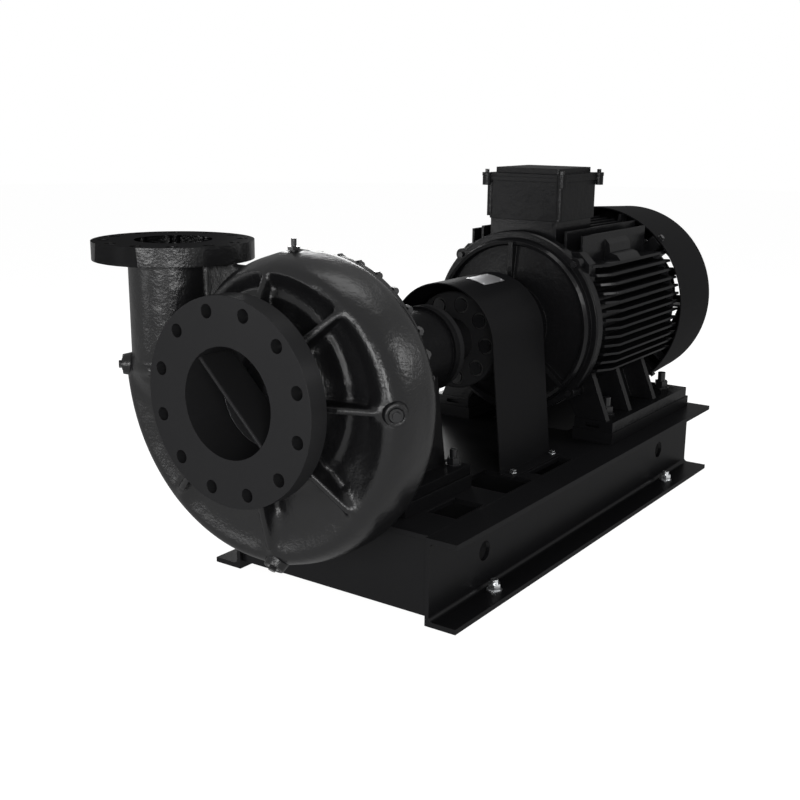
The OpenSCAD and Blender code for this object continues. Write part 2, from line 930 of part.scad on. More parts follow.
// Bell that joins the back cover to the bearing housing, on two legs with feet
module bearing_frame() {
    bell_end = housing_y - 24;
    color("#1b1c1e")
        difference() {
            union() {
                revolve()
                    polygon([
                        [bell_r - bell_wall, cover_back], [frame_flange_r, cover_back],
                        [frame_flange_r, cover_back + frame_flange_t],
                        [bell_r, cover_back + frame_flange_t], [bell_r, bell_end - 34],
                        [housing_r, housing_y + 30], [housing_r, housing_end - 16],
                        [cap_r, housing_end - 16], [cap_r, housing_end],
                        [pump_bearing_d / 2 + fit, housing_end],
                        [pump_bearing_d / 2 + fit, bearing2_y],
                        [pump_bearing_d / 2 - 6, bearing2_y],
                        [pump_bearing_d / 2 - 6, bearing1_y + pump_bearing_w],
                        [pump_bearing_d / 2 + fit, bearing1_y + pump_bearing_w],
                        [pump_bearing_d / 2 + fit, housing_y], [housing_r - 2, housing_y],
                        [housing_r, bell_end], [bell_r - bell_wall, bell_end - 30]
                    ]);
                both_sides() {
                    difference() {
                        translate([0, frame_leg_y1, 0])
                            rotate([90, 0, 0])
                                linear_extrude(frame_leg_y1 - frame_leg_y0)
                                    frame_leg_profile();
                        translate([0, (frame_leg_y0 + frame_leg_y1) / 2, -150])
                            rotate([0, 90, 0])
                                cylinder(r = 42, h = 200);
                    }
                    span([pump_foot_x0, pump_foot_y0, -motor_h], [pump_foot_x1, pump_foot_y1, -motor_h + pump_foot_t]);
                }
                frame_cross_web(frame_leg_y0, 18);
                frame_cross_web(frame_leg_y1 - 18, 18);
            }
            ycyl(pump_bearing_d - 12, housing_y - 1, housing_end + 1);
            // Windows that give access to the gland
            for (side = [0, 180])
                turn(side)
                    translate([60, (cover_back + frame_flange_t + bell_end) / 2, 0])
                        rotate([0, 90, 0])
                            cylinder(r = 24, h = 100);
            pump_bolt_holes();
            on_circle(8, frame_bolt_r, 22.5)
                ycyl(12 + 2 * bolt_fit, cover_back - 1, cover_back + frame_flange_t + 1);
            on_circle(6, cap_bolt_r, 30)
                ycyl(10 + 2 * bolt_fit, housing_end - 17, housing_end + 1);
            on_circle(6, front_cap_bolt_r, 30)
                ycyl(8 + 2 * bolt_fit, housing_y - 1, housing_y + 20);
            translate([0, oil_plug_y, 0]) {
                zcyl(20, 40, housing_r + 1);
                zcyl(16, -housing_r - 1, -40);
            }
            // Flat seats of the filler and drain plugs on the round housing
            translate([0, oil_plug_y, 0]) {
                zcyl(34, housing_r - 3, housing_r + 5);
                zcyl(28, -housing_r - 5, -housing_r + 3);
            }
        }
}

cap_bolt_r = pump_bearing_d / 2 + 17;
front_cap_bolt_r = pump_bearing_d / 2 + 10;
oil_plug_y = 505;

module frame_bolts() {
    color("#26272a")
        on_circle(8, frame_bolt_r, 22.5) {
            ycyl(12, cover_back - 16, cover_back + frame_flange_t);
            hex_y(18, cover_back + frame_flange_t, cover_back + frame_flange_t + 8);
        }
}

module front_bearing_cover() {
    color("#1b1c1e")
        difference() {
            revolve()
                polygon([
                    [pump_shaft_d / 2 + 1, housing_y - 10], [housing_r - 6, housing_y - 10],
                    [housing_r - 6, housing_y], [pump_bearing_d / 2 - fit, housing_y],
                    [pump_bearing_d / 2 - fit, bearing1_y], [pump_bearing_d / 2 - 6, bearing1_y],
                    [pump_bearing_d / 2 - 10, housing_y], [pump_shaft_d / 2 + 1, housing_y]
                ]);
            on_circle(6, front_cap_bolt_r, 30)
                ycyl(8 + 2 * bolt_fit, housing_y - 11, housing_y + 1);
        }
}

module rear_bearing_cover() {
    color("#1b1c1e")
        difference() {
            revolve()
                polygon([
                    [pump_shaft_d / 2 + 1, housing_end + 12],
                    [pump_bearing_d / 2 - 14, housing_end + 12],
                    [pump_bearing_d / 2 - 8, housing_end - 7],
                    [pump_bearing_d / 2 - fit, housing_end - 7],
                    [pump_bearing_d / 2 - fit, housing_end], [cap_r, housing_end],
                    [cap_r, housing_end + 16], [cap_r - 6, housing_end + cap_t],
                    [pump_shaft_d / 2 + 1, housing_end + cap_t]
                ]);
            on_circle(6, cap_bolt_r, 30)
                ycyl(10 + 2 * bolt_fit, housing_end - 1, housing_end + cap_t + 1);
        }
}

module bearing_cover_bolts() {
    color("#26272a") {
        on_circle(6, cap_bolt_r, 30) {
            ycyl(10, housing_end - 14, housing_end + cap_t);
            hex_y(16, housing_end + cap_t, housing_end + cap_t + 7);
        }
        on_circle(6, front_cap_bolt_r, 30) {
            ycyl(8, housing_y - 10, housing_y + 18);
            hex_y(13, housing_y - 15.5, housing_y - 10);
        }
    }
}

// Ball bearings: each is an outer race, an inner race and a set of balls in a cage

module outer_race(d, bore, w, y) {
    pitch = (d + bore) / 4;
    ball = (d - bore) / 6.4;
    revolve()
        difference() {
            translate([pitch + ball * 0.62, y])
                square([d / 2 - pitch - ball * 0.62, w]);
            translate([pitch, y + w / 2])
                circle(r = ball + run);
        }
}

module inner_race(d, bore, w, y) {
    pitch = (d + bore) / 4;
    ball = (d - bore) / 6.4;
    revolve()
        difference() {
            translate([bore / 2 + fit, y])
                square([pitch - ball * 0.62 - bore / 2 - fit, w]);
            translate([pitch, y + w / 2])
                circle(r = ball + run);
        }
}

module ball_set(d, bore, w, y, count) {
    pitch = (d + bore) / 4;
    ball = (d - bore) / 6.4;
    on_circle(count, pitch)
        translate([0, y + w / 2, 0])
            sphere(r = ball, $fn = 32);
    ring(pitch - 2, pitch + 2, y + w / 2 - ball * 0.7, y + w / 2 + ball * 0.7);
}

module pump_outer_races() {
    color("#b5b7ba")
        for (y = [bearing1_y, bearing2_y])
            outer_race(pump_bearing_d, pump_shaft_d, pump_bearing_w, y);
}

module pump_inner_races() {
    color("#b5b7ba")
        for (y = [bearing1_y, bearing2_y])
            inner_race(pump_bearing_d, pump_shaft_d, pump_bearing_w, y);
}

module pump_ball_sets() {
    color("#c9cacb")
        for (y = [bearing1_y, bearing2_y])
            ball_set(pump_bearing_d, pump_shaft_d, pump_bearing_w, y, 9);
}

module bearing_locknut() {
    y = bearing2_y + pump_bearing_w;
    color("#77797c")
        difference() {
            ring(pump_shaft_d / 2 + fit, pump_shaft_d / 2 + 10, y, y + 10);
            on_circle(4, pump_shaft_d / 2 + 10)
                span([-3, y - 1, -3.5], [3, y + 11, 3.5]);
        }
}

module oil_plugs() {
    color("#3a3b3d")
        translate([0, oil_plug_y, 0]) {
            zcyl(20 - 2 * bolt_fit, housing_r - 16, housing_r - 3);
            hex_z(26, housing_r - 3, housing_r + 7);
            zcyl(16 - 2 * bolt_fit, -housing_r + 3, -housing_r + 16);
            hex_z(18, -housing_r - 5, -housing_r + 3);
        }
}

module pump_foot_bolts() {
    color("#3a3b3d")
        for (y = pump_bolt_y, side = [-1, 1])
            translate([side * pump_bolt_x, y, 0])
                foot_stud(16, deck_bottom + 1, -motor_h + pump_foot_t);
}

// Coupling

module pump_coupling_half() {
    color("#3f4144")
        difference() {
            revolve()
                polygon([
                    [coupling_nose_d / 2 + fit, coupling_hub_y], [coupling_hub_r, coupling_hub_y],
                    [coupling_hub_r, coupling_y], [coupling_d / 2 - 3, coupling_y],
                    [coupling_d / 2, coupling_y + 3],
                    [coupling_d / 2, coupling_y + coupling_disc_t],
                    [coupling_nose_d / 2 + fit, coupling_y + coupling_disc_t]
                ]);
            on_circle(coupling_pins, pin_pcd_r, pin_start)
                ycyl(2 * bush_r, coupling_y - 1, coupling_y + coupling_disc_t + 1);
        }
}

module coupling_bushes() {
    color("#17181a")
        on_circle(coupling_pins, pin_pcd_r, pin_start)
            ring(pin_r + fit, bush_r - run, coupling_y + 2, coupling_y + coupling_disc_t - 2);
}

// Pins that are nutted to the motor half and carry the bushes
module coupling_pin_set() {
    color("#8c8f92")
        on_circle(coupling_pins, pin_pcd_r, pin_start) {
            ycyl(2 * pin_r, coupling_y - 4, motor_disc_y + motor_disc_t + 16);
            ycyl(2 * pin_r + 10, coupling_y - 4, coupling_y + 2);
            hex_y(28, motor_disc_y + motor_disc_t, motor_disc_y + motor_disc_t + 12);
        }
}

module motor_coupling_half() {
    color("#3f4144")
        difference() {
            revolve()
                polygon([
                    [motor_shaft_d / 2 + fit, motor_disc_y], [coupling_d / 2, motor_disc_y],
                    [coupling_d / 2, motor_disc_y + motor_disc_t - 3],
                    [coupling_d / 2 - 3, motor_disc_y + motor_disc_t],
                    [motor_hub_r, motor_disc_y + motor_disc_t], [motor_hub_r, motor_hub_end],
                    [motor_shaft_d / 2 + fit, motor_hub_end]
                ]);
            on_circle(coupling_pins, pin_pcd_r, pin_start)
                ycyl(2 * pin_r + 2 * fit, motor_disc_y - 1, motor_disc_y + motor_disc_t + 1);
        }
}

// Outline of the guard's sheet, moved inwards by inset
module guard_outline(inset) {
    r = guard_r - inset;
    circle(r = r);
    polygon([
        [-r, 0], [r, 0], [guard_foot_x - inset, base_top + (inset > 0 ? -1 : 0)],
        [-guard_foot_x + inset, base_top + (inset > 0 ? -1 : 0)]
    ]);
}

module guard_bolt_holes() {
    for (y = guard_screw_y, side = [-1, 1])
        translate([side * (guard_foot_x + 14), y, 0])
            zcyl(8 + 2 * bolt_fit, deck_bottom - 1, base_top + guard_t + 1);
}

module coupling_guard() {
    color("#232427")
        difference() {
            union() {
                translate([0, guard_y + guard_len, 0])
                    rotate([90, 0, 0])
                        linear_extrude(guard_len)
                            difference() {
                                guard_outline(0);
                                guard_outline(guard_t);
                            }
                both_sides()
                    span([guard_foot_x - guard_t, guard_y, base_top],
                         [guard_foot_x + guard_flange, guard_y + guard_len, base_top + guard_t]);
            }
            guard_bolt_holes();
        }
}

module guard_screws() {
    color("#c9cacb")
        for (y = guard_screw_y, side = [-1, 1])
            translate([side * (guard_foot_x + 14), y, 0]) {
                zcyl(8, deck_bottom + 1, base_top + guard_t);
                zcyl(17, base_top + guard_t, base_top + guard_t + 1.6);
                hex_z(13, base_top + guard_t + 1.6, base_top + guard_t + 7);
            }
}

// Motor

fin_first_z = fin_mid - (side_fins - 1) / 2 * fin_pitch;
fin_last_z = fin_mid + (side_fins - 1) / 2 * fin_pitch;

// Fins that lie flat along both sides of the barrel, their front corners cut back
module side_fin_set() {
    for (i = [0 : side_fins - 1])
        translate([0, 0, fin_first_z + i * fin_pitch - fin_t / 2])
            linear_extrude(fin_t)
                polygon([
                    [140, barrel_y + 18], [fin_reach - 20, barrel_y + 18],
                    [fin_reach, barrel_y + 62], [fin_reach, barrel_end - 6], [140, barrel_end - 6]
                ]);
}

top_fin_x = [for (i = [0 : 4]) 14 + i * fin_pitch * 1.04];

// Upright fins on the top of the barrel behind the terminal box
module top_fin_set() {
    for (x = top_fin_x)
        span([x - fin_t / 2, box_y + box_l + 14, 150], [x + fin_t / 2, barrel_end - 6, fin_reach - 8 - x * 0.12]);
}

// Two upright plates between the top and side fins, a lug at the shield's bolt
// and an angled lifting boss on the highest side fin
module frame_corner() {
    outer_x = barrel_r * 0.71;
    inner_x = barrel_r * 0.54;
    low = fin_last_z;
    span([inner_x - fin_t / 2, barrel_y + 3, 120], [inner_x + fin_t / 2, barrel_end - 4, fin_reach - 16]);
    span([outer_x - fin_t / 2, barrel_y + 18, 120], [outer_x + fin_t / 2, barrel_end - 20, fin_reach - 26]);
    translate([0, barrel_y + 34, 0])
        rotate([90, 0, 0])
            linear_extrude(34)
                polygon([[105, 160], [109, 181], [154, 181], [181, 154], [181, 109], [160, 105]]);
    translate([0, barrel_y + 260, 0])
        rotate([90, 0, 0])
            linear_extrude(120)
                polygon([
                    [outer_x, low], [outer_x, low + 57], [outer_x + 15, low + 42],
                    [outer_x + 18, low + 22], [outer_x + 36, low + 16], [outer_x + 55, low]
                ]);
}

module foot_side() {
    span([foot_in_x, foot_y0, -motor_h], [foot_out_x, foot_y1, -motor_h + foot_t]);
    // Gussets from the barrel down to the foot
    for (y = [foot_y0 + 4, first_foot_y + foot_b * 0.18, first_foot_y + foot_b * 0.62])
        translate([0, y + 18, 0])
            rotate([90, 0, 0])
                linear_extrude(18)
                    polygon([
                        [barrel_r * 0.56, -barrel_r * 0.72], [barrel_r * 0.9, -barrel_r * 0.52],
                        [foot_out_x - 18, -motor_h + foot_t - 1],
                        [foot_in_x + 4, -motor_h + foot_t - 1]
                    ]);
    // Inner wall of the foot, along the motor
    translate([0, barrel_end - 10, 0])
        rotate([90, 0, 0])
            linear_extrude(barrel_end - foot_y0 - 16)
                polygon([
                    [barrel_r * 0.52, -barrel_r * 0.74], [barrel_r * 0.66, -barrel_r * 0.66],
                    [foot_in_x + 22, -motor_h + foot_t - 1],
                    [foot_in_x + 2, -motor_h + foot_t - 1]
                ]);
}

module motor_frame() {
    seat_w = box_w - 16;
    color("#1d1e20")
        difference() {
            union() {
                ycyl(barrel_d, barrel_y, barrel_end);
                both_sides() {
                    side_fin_set();
                    top_fin_set();
                    frame_corner();
                    foot_side();
                }
                // Saddle under the terminal box
                span([-seat_w / 2, barrel_y, 120], [seat_w / 2, box_y + box_l - 6, box_z]);
                // Ears that the drive end's bolts screw into
                on_circle(4, shield_bolt_r, 45)
                    ycyl(30, barrel_y, barrel_y + 30);
            }
            ycyl(2 * bore_r, barrel_y - 1, barrel_end + 1);
            // Cable way from the terminal box to the windings
            translate([0, box_y + box_l / 2, 0])
                zcyl(60, 100, box_z + 1);
            motor_bolt_holes();
            shield_bolt_holes(barrel_y - 1, barrel_y + 22);
            rear_bolt_holes(barrel_end - 20, barrel_end + 1);
            box_screw_holes();
            // Slot in the front of each foot
            both_sides()
                span([foot_in_x + 30, foot_y0 - 1, -motor_h + 8], [foot_in_x + 66, foot_y0 + 14, -motor_h + 17]);
        }
}

shield_bolt_r = barrel_r + 8;
rear_bolt_r = barrel_r - 8;

module shield_bolt_holes(y0, y1) {
    on_circle(4, shield_bolt_r, 45)
        ycyl(8 + 2 * bolt_fit, y0, y1);
}

module rear_bolt_holes(y0, y1) {
    on_circle(4, rear_bolt_r, 22.5)
        ycyl(8 + 2 * bolt_fit, y0, y1);
}

shield_ribs = [90, -42, 222];

module drive_end_shield() {
    color("#1d1e20")
        difference() {
            union() {
                revolve()
                    polygon([
                        [motor_core_r + 3, bearing3_y + motor_bearing_w],
                        [motor_bearing_d / 2 + fit, bearing3_y + motor_bearing_w],
                        [motor_bearing_d / 2 + fit, shield_y], [hub3_r, shield_y],
                        [hub3_r + 4, shield_y + 22], [shield_rim_r - 34, shield_y + 34],
                        [shield_rim_r - 30, shield_y + 22], [shield_rim_r - 22, shield_y + 20],
                        [shield_rim_r - 18, shield_y + 30], [shield_rim_r - 16, shield_y + 44],
                        [shield_rim_r - 3, shield_y + 44], [shield_rim_r, shield_y + 48],
                        [shield_rim_r, barrel_y], [bore_r - fit, barrel_y],
                        [bore_r - fit, barrel_y + 10], [bore_r - 12, barrel_y + 10],
                        [bore_r - 16, shield_y + 50], [hub3_r, shield_y + 46],
                        [motor_core_r + 3, shield_y + 46]
                    ]);
                for (a = shield_ribs)
                    turn(a)
                        span([hub3_r - 4, shield_y + 14, -6], [shield_rim_r - 24, shield_y + 40, 6]);
                // Ears for the bolts
                on_circle(4, shield_bolt_r, 45)
                    ycyl(30, shield_y + 44, barrel_y);
            }
            shield_bolt_holes(shield_y + 40, barrel_y + 1);
            cap_bolt_holes(shield_y - 1, shield_y + 18);
        }
}

module cap_bolt_holes(y0, y1) {
    on_circle(4, motor_bearing_d / 2 + 14, 0)
        ycyl(8 + 2 * bolt_fit, y0, y1);
}

module fan_end_shield() {
    color("#1d1e20")
        difference() {
            union() {
                revolve()
                    polygon([
                        [motor_core_r + 3, barrel_end + 2], [motor_core_r + 3, bearing4_y],
                        [motor_bearing_d / 2 + fit, bearing4_y],
                        [motor_bearing_d / 2 + fit, fan_shield_end - 4],
                        [hub3_r, fan_shield_end - 4], [hub3_r + 6, barrel_end + 20],
                        [bore_r, barrel_end + 16], [barrel_r - 2, barrel_end + 16],
                        [barrel_r, barrel_end + 14], [barrel_r, barrel_end],
                        [bore_r - fit, barrel_end], [bore_r - fit, barrel_end - 8],
                        [bore_r - 10, barrel_end - 8], [bore_r - 14, barrel_end + 2]
                    ]);
                // Lugs that carry the fan cowl
                for (a = lug_angles)
                    turn(a)
                        span([barrel_r - 10, barrel_end, -lug_half], [lug_r, barrel_end + 30, lug_half]);
            }
            rear_bolt_holes(barrel_end - 9, barrel_end + 17);
            on_circle(4, motor_bearing_d / 2 + 14, 0)
                ycyl(8 + 2 * bolt_fit, fan_shield_end - 22, fan_shield_end + 1);
            for (a = lug_angles)
                turn(a)
                    cowl_screw_hole();
        }
}

// Inner radius of the cowl's sheet at a distance y along the shaft
function cowl_in_r(y) = cowl_r - cowl_t - (cowl_r - cowl_end_r) * (y - cowl_y) / (cowl_len - 20);

cowl_screw_y = barrel_end + 20;
lug_half = 16;
lug_r = sqrt(pow(cowl_in_r(barrel_end + 30), 2) - lug_half * lug_half) - fit;

module cowl_screw_hole() {
    translate([lug_r - 30, cowl_screw_y, 0])
        rotate([0, 90, 0])
            cylinder(d = 8 + 2 * bolt_fit, h = 60);
}

module shield_bolts() {
    color("#2f3033") {
        on_circle(4, shield_bolt_r, 45) {
            ycyl(8, shield_y + 44, barrel_y + 18);
            hex_y(13, shield_y + 38, shield_y + 44);
        }
        on_circle(4, rear_bolt_r, 22.5) {
            ycyl(8, barrel_end - 18, barrel_end + 16);
            hex_y(13, barrel_end + 16, barrel_end + 22);
        }
    }
}

module motor_bearing_caps() {
    color("#1d1e20") {
        difference() {
            ring(motor_seat_d / 2 + 2, hub3_r - 3, shield_y - cap3_t, shield_y);
            cap_bolt_holes(shield_y - cap3_t - 1, shield_y + 1);
        }
        ring(motor_bearing_d / 2 - 8, motor_bearing_d / 2 - fit, shield_y, bearing3_y);
        difference() {
            ring(motor_seat_d / 2 + 2, hub3_r - 3, fan_shield_end - 4, fan_shield_end + 6);
            on_circle(4, motor_bearing_d / 2 + 14, 0)
                ycyl(8 + 2 * bolt_fit, fan_shield_end - 5, fan_shield_end + 7);
        }
        ring(motor_bearing_d / 2 - 8, motor_bearing_d / 2 - fit, bearing4_y + motor_bearing_w, fan_shield_end - 4);
    }
}

module stator_core() {
    color("#606468")
        difference() {
            ring(core_bore_r, bore_r - fit, core_y0, core_y1);
            on_circle(36, core_bore_r)
                span([-1, core_y0 - 1, -3], [24, core_y1 + 1, 3]);
        }
}

module stator_windings() {
    color("#a2622b")
        for (end = [[core_y0 - 52, core_y0], [core_y1, core_y1 + 52]])
            revolve()
                translate([core_bore_r + 10, end[0]])
                    square([44, 52]);
}

module rotor_core() {
    color("#7b7e82") {
        ring(motor_core_r + fit, rotor_r, core_y0, core_y1);
        ring(rotor_r - 42, rotor_r - 4, core_y0 - 22, core_y0);
        ring(rotor_r - 42, rotor_r - 4, core_y1, core_y1 + 22);
    }
}

motor_core_r = motor_seat_d / 2 + 5;

module motor_shaft() {
    seat = motor_seat_d / 2;
    color("#a5a8ab")
        revolve()
            polygon([
                [0, shaft_tip_y], [motor_shaft_d / 2 - 2, shaft_tip_y],
                [motor_shaft_d / 2, shaft_tip_y + 2], [motor_shaft_d / 2, shoulder_y],
                [seat, shoulder_y], [seat, bearing3_y + motor_bearing_w],
                [motor_core_r, bearing3_y + motor_bearing_w], [motor_core_r, bearing4_y],
                [seat, bearing4_y], [seat, fan_shield_end + 10],
                [fan_seat_d / 2, fan_shield_end + 10], [fan_seat_d / 2, fan_y + fan_len + 4],
                [0, fan_y + fan_len + 4]
            ]);
}

module motor_outer_races() {
    color("#b5b7ba")
        for (y = [bearing3_y, bearing4_y])
            outer_race(motor_bearing_d, motor_seat_d, motor_bearing_w, y);
}

module motor_inner_races() {
    color("#b5b7ba")
        for (y = [bearing3_y, bearing4_y])
            inner_race(motor_bearing_d, motor_seat_d, motor_bearing_w, y);
}

module motor_ball_sets() {
    color("#c9cacb")
        for (y = [bearing3_y, bearing4_y])
            ball_set(motor_bearing_d, motor_seat_d, motor_bearing_w, y, 10);
}

module cooling_fan() {
    color("#2a2b2d")
        difference() {
            union() {
                ycyl(fan_seat_d + 40, fan_y, fan_y + fan_len);
                ring(fan_seat_d / 2 + 10, fan_r - 20, fan_y + 6, fan_y + 12);
                on_circle(9, 0)
                    span([fan_seat_d / 2 + 12, fan_y + 6, -2.5], [fan_r, fan_y + fan_len - 4, 2.5]);
            }
            ycyl(fan_seat_d + 2 * fit, fan_y - 1, fan_y + fan_len + 1);
        }
}

// Sheet cowl over the fan, with ring slots in its end
module fan_cowl() {
    out_end = cowl_end - 20;
    color("#202124")
        difference() {
            revolve()
                difference() {
                    union() {
                        polygon([
                            [0, cowl_y], [cowl_r, cowl_y], [cowl_end_r, out_end],
                            [cowl_end_r, cowl_end - 16], [0, cowl_end - 16]
                        ]);
                        translate([0, cowl_end - 17])
                            square([cowl_end_r - 16, 17]);
                        translate([cowl_end_r - 16, cowl_end - 16])
                            circle(r = 16);
                    }
                    polygon([
                        [0, cowl_y - 1], [cowl_r - cowl_t + 0.1, cowl_y - 1],
                        [cowl_end_r - cowl_t, out_end], [cowl_end_r - cowl_t, cowl_end - 16],
                        [0, cowl_end - 16]
                    ]);
                    translate([0, cowl_end - 18])
                        square([cowl_end_r - 16, 18 - cowl_t]);
                    translate([cowl_end_r - 16, cowl_end - 16])
                        circle(r = 16 - cowl_t);
                }
            for (a = [0 : 30 : 330], i = [0 : 3])
                turn(a)
                    revolve(22)
                        translate([50 + i * 30, cowl_end - 6])
                            square([16, 12]);
            for (a = lug_angles)
                turn(a)
                    cowl_screw_hole();
        }
}

module cowl_screws() {
    head = cowl_in_r(cowl_screw_y) + cowl_t + 0.6;
    color("#3a3b3d")
        for (a = lug_angles)
            turn(a)
                translate([0, cowl_screw_y, 0])
                    rotate([0, 90, 0]) {
                        zcyl(8, lug_r - 24, head);
                        zcyl(18, head, head + 2);
                        hex_z(13, head + 2, head + 8);
                    }
}

// Terminal box

box_corner = [box_w / 2 - 16, box_l / 2 - 16];

module at_box() {
    translate([0, box_y + box_l / 2, 0])
        children();
}

module box_screws_at() {
    at_box()
        for (x = [-1, 1], y = [-1, 1])
            translate([x * box_corner[0], y * box_corner[1], 0])
                children();
}

module box_screw_holes() {
    box_screws_at()
        zcyl(8, box_z - 16, box_z + box_wall + 1);
}

module rounded_block(w, l, z0, z1, r) {
    span([-w / 2 + r, -l / 2, z0], [w / 2 - r, l / 2, z1]);
    span([-w / 2, -l / 2 + r, z0], [w / 2, l / 2 - r, z1]);
    for (x = [-1, 1], y = [-1, 1])
        translate([x * (w / 2 - r), y * (l / 2 - r), 0])
            zcyl(2 * r, z0, z1);
}

lid_screw = [box_w / 2 + 4, box_l / 2 + 4];

module terminal_box() {
    top = box_z + box_h;
    color("#222326")
        difference() {
            union() {
                at_box() {
                    rounded_block(box_w, box_l, box_z, top, 9);
                    // Rim that the lid sits on, and a column for each lid screw
                    rounded_block(box_w + 8, box_l + 8, top - 10, top, 10);
                    for (x = [-1, 1], y = [-1, 1])
                        translate([x * lid_screw[0], y * lid_screw[1], 0])
                            zcyl(22, top - 22, top);
                    for (x = [-1, 1])
                        translate([x * (box_w / 2 - 3), -box_l / 2 + 3, 0])
                            zcyl(16, box_z + 6, top - 16);
                }
            }
            at_box() {
                rounded_block(box_w - 2 * box_wall, box_l - 2 * box_wall, box_z + box_wall, top + 1, 5);
                zcyl(60, box_z - 1, box_z + box_wall + 1);
                for (x = [-1, 1], y = [-1, 1])
                    translate([x * lid_screw[0], y * lid_screw[1], 0])
                        zcyl(6 + 2 * bolt_fit, top - 18, top + 1);
            }
            box_screw_holes();
        }
}

module terminal_lid() {
    z = box_z + box_h;
    color("#222326")
        difference() {
            union()
                at_box() {
                    rounded_block(box_w + 8, box_l + 8, z, z + lid_t, 10);
                    for (x = [-1, 1], y = [-1, 1])
                        translate([x * lid_screw[0], y * lid_screw[1], 0])
                            zcyl(24, z, z + lid_t);
                    rounded_block(box_w - 20, box_l - 20, z + lid_t - 1, z + lid_t + 13, 8);
                }
            at_box()
                for (x = [-1, 1], y = [-1, 1])
                    translate([x * lid_screw[0], y * lid_screw[1], 0])
                        zcyl(6 + 2 * bolt_fit, z - 1, z + lid_t + 1);
        }
}

module lid_screws() {
    z = box_z + box_h;
    color("#3a3b3d") {
        at_box()
            for (x = [-1, 1], y = [-1, 1])
                translate([x * lid_screw[0], y * lid_screw[1], 0]) {
                    zcyl(6, z - 16, z + lid_t);
                    hex_z(10, z + lid_t, z + lid_t + 8);
                }
        box_screws_at() {
            zcyl(7.4, box_z - 14, box_z + box_wall);
            zcyl(13, box_z + box_wall, box_z + box_wall + 6);
        }
    }
}

module terminal_board() {
    floor_z = box_z + box_wall;
    color("#8a5a2c")
        difference() {
            at_box() {
                span([-50, -76, floor_z], [50, -38, floor_z + 20]);
                for (i = [-1 : 1], j = [0, 1])
                    translate([i * 30, -66 + j * 18, 0])
                        zcyl(7, floor_z + 19, floor_z + 38);
            }
            box_screw_holes();
        }
}

module motor_foot_bolts() {
    color("#3a3b3d")
        for (y = [first_foot_y, first_foot_y + foot_b], side = [-1, 1])
            translate([side * foot_a / 2, y, 0])
                foot_stud(20, base_top - channel_flange - 10, -motor_h + foot_t);
}

side_channels();
cross_members();
deck_plate();
pump_pads();
motor_pads();
foundation_bolts();
volute_casing();
casing_wear_ring();
casing_gasket();
back_cover();
cover_stud_set();  // cover_studs
casing_plugs();
air_vent();
impeller();
impeller_nut();
impeller_key();
pump_shaft();
shaft_sleeve();
seal_seat();
seal_head();
gland_plate();
gland_bolts();
bearing_frame();
frame_bolts();
front_bearing_cover();
rear_bearing_cover();
bearing_cover_bolts();
pump_outer_races();
pump_inner_races();
pump_ball_sets();
bearing_locknut();
oil_plugs();
pump_foot_bolts();
pump_coupling_half();
coupling_bushes();
coupling_pin_set();
motor_coupling_half();
coupling_guard();
guard_screws();
motor_frame();
drive_end_shield();
fan_end_shield();
shield_bolts();
motor_bearing_caps();
stator_core();
stator_windings();
rotor_core();
motor_shaft();
motor_outer_races();
motor_inner_races();
motor_ball_sets();
cooling_fan();
fan_cowl();
cowl_screws();
terminal_box();
terminal_lid();
lid_screws();
terminal_board();
motor_foot_bolts();
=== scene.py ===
"""Looks of a horizontal centrifugal pump set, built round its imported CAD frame.

All sizes are in metres. X points right seen from the suction side, Y runs along the
shaft from the suction flange to the motor's fan, and Z points up. The origin is the
centre of the suction flange's face.
"""

import logging
import math
from dataclasses import dataclass, field
from enum import Enum
from typing import Callable, Iterable

import bmesh
import bpy
from mathutils import Matrix, Vector


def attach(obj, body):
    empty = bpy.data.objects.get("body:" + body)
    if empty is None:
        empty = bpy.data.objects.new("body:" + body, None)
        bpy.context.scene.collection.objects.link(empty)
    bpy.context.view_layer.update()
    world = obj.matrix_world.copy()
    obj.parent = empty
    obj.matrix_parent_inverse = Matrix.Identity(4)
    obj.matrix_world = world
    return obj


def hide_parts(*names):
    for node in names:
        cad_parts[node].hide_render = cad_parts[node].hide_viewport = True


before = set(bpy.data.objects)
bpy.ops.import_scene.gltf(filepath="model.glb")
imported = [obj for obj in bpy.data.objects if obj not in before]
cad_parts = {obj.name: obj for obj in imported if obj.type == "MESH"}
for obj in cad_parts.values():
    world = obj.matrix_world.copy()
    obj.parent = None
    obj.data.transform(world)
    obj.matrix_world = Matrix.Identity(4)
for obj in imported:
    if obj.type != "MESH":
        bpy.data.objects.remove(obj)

log = logging.getLogger("pump_set")

Rgb = tuple[float, float, float]
Point = tuple[float, float, float]

FLOOR_Z = -0.458
AXIS_Y = Vector((0.0, 1.0, 0.0))
AXIS_Z = Vector((0.0, 0.0, 1.0))

# Gap under which two places count as the same one.
TOUCH = 0.0001

# Index of refraction of the gloss layer on every paint.
PAINT_COAT_IOR = 1.8

# Waves in a metre of the slow lumps, the worn patches, the clouds and the specks.
LUMP_WAVES = 22.0
PATCH_WAVES = 60.0
CLOUD_WAVES = 9.0
SPECK_WAVES = 240.0

WHITE = (1.0, 1.0, 1.0, 1.0)
# Lighter grey that edges are mixed towards: rubbed paint, and on the black paints a painted sheen
# along the edges.
WORN_AND_SHEEN_COLOUR = (0.05, 0.05, 0.052, 1.0)


class Skin(Enum):
    """How the surface under a finish was formed."""

    CAST = "cast"
    SHEET = "sheet"
    TURNED = "turned"
    MOULDED = "moulded"


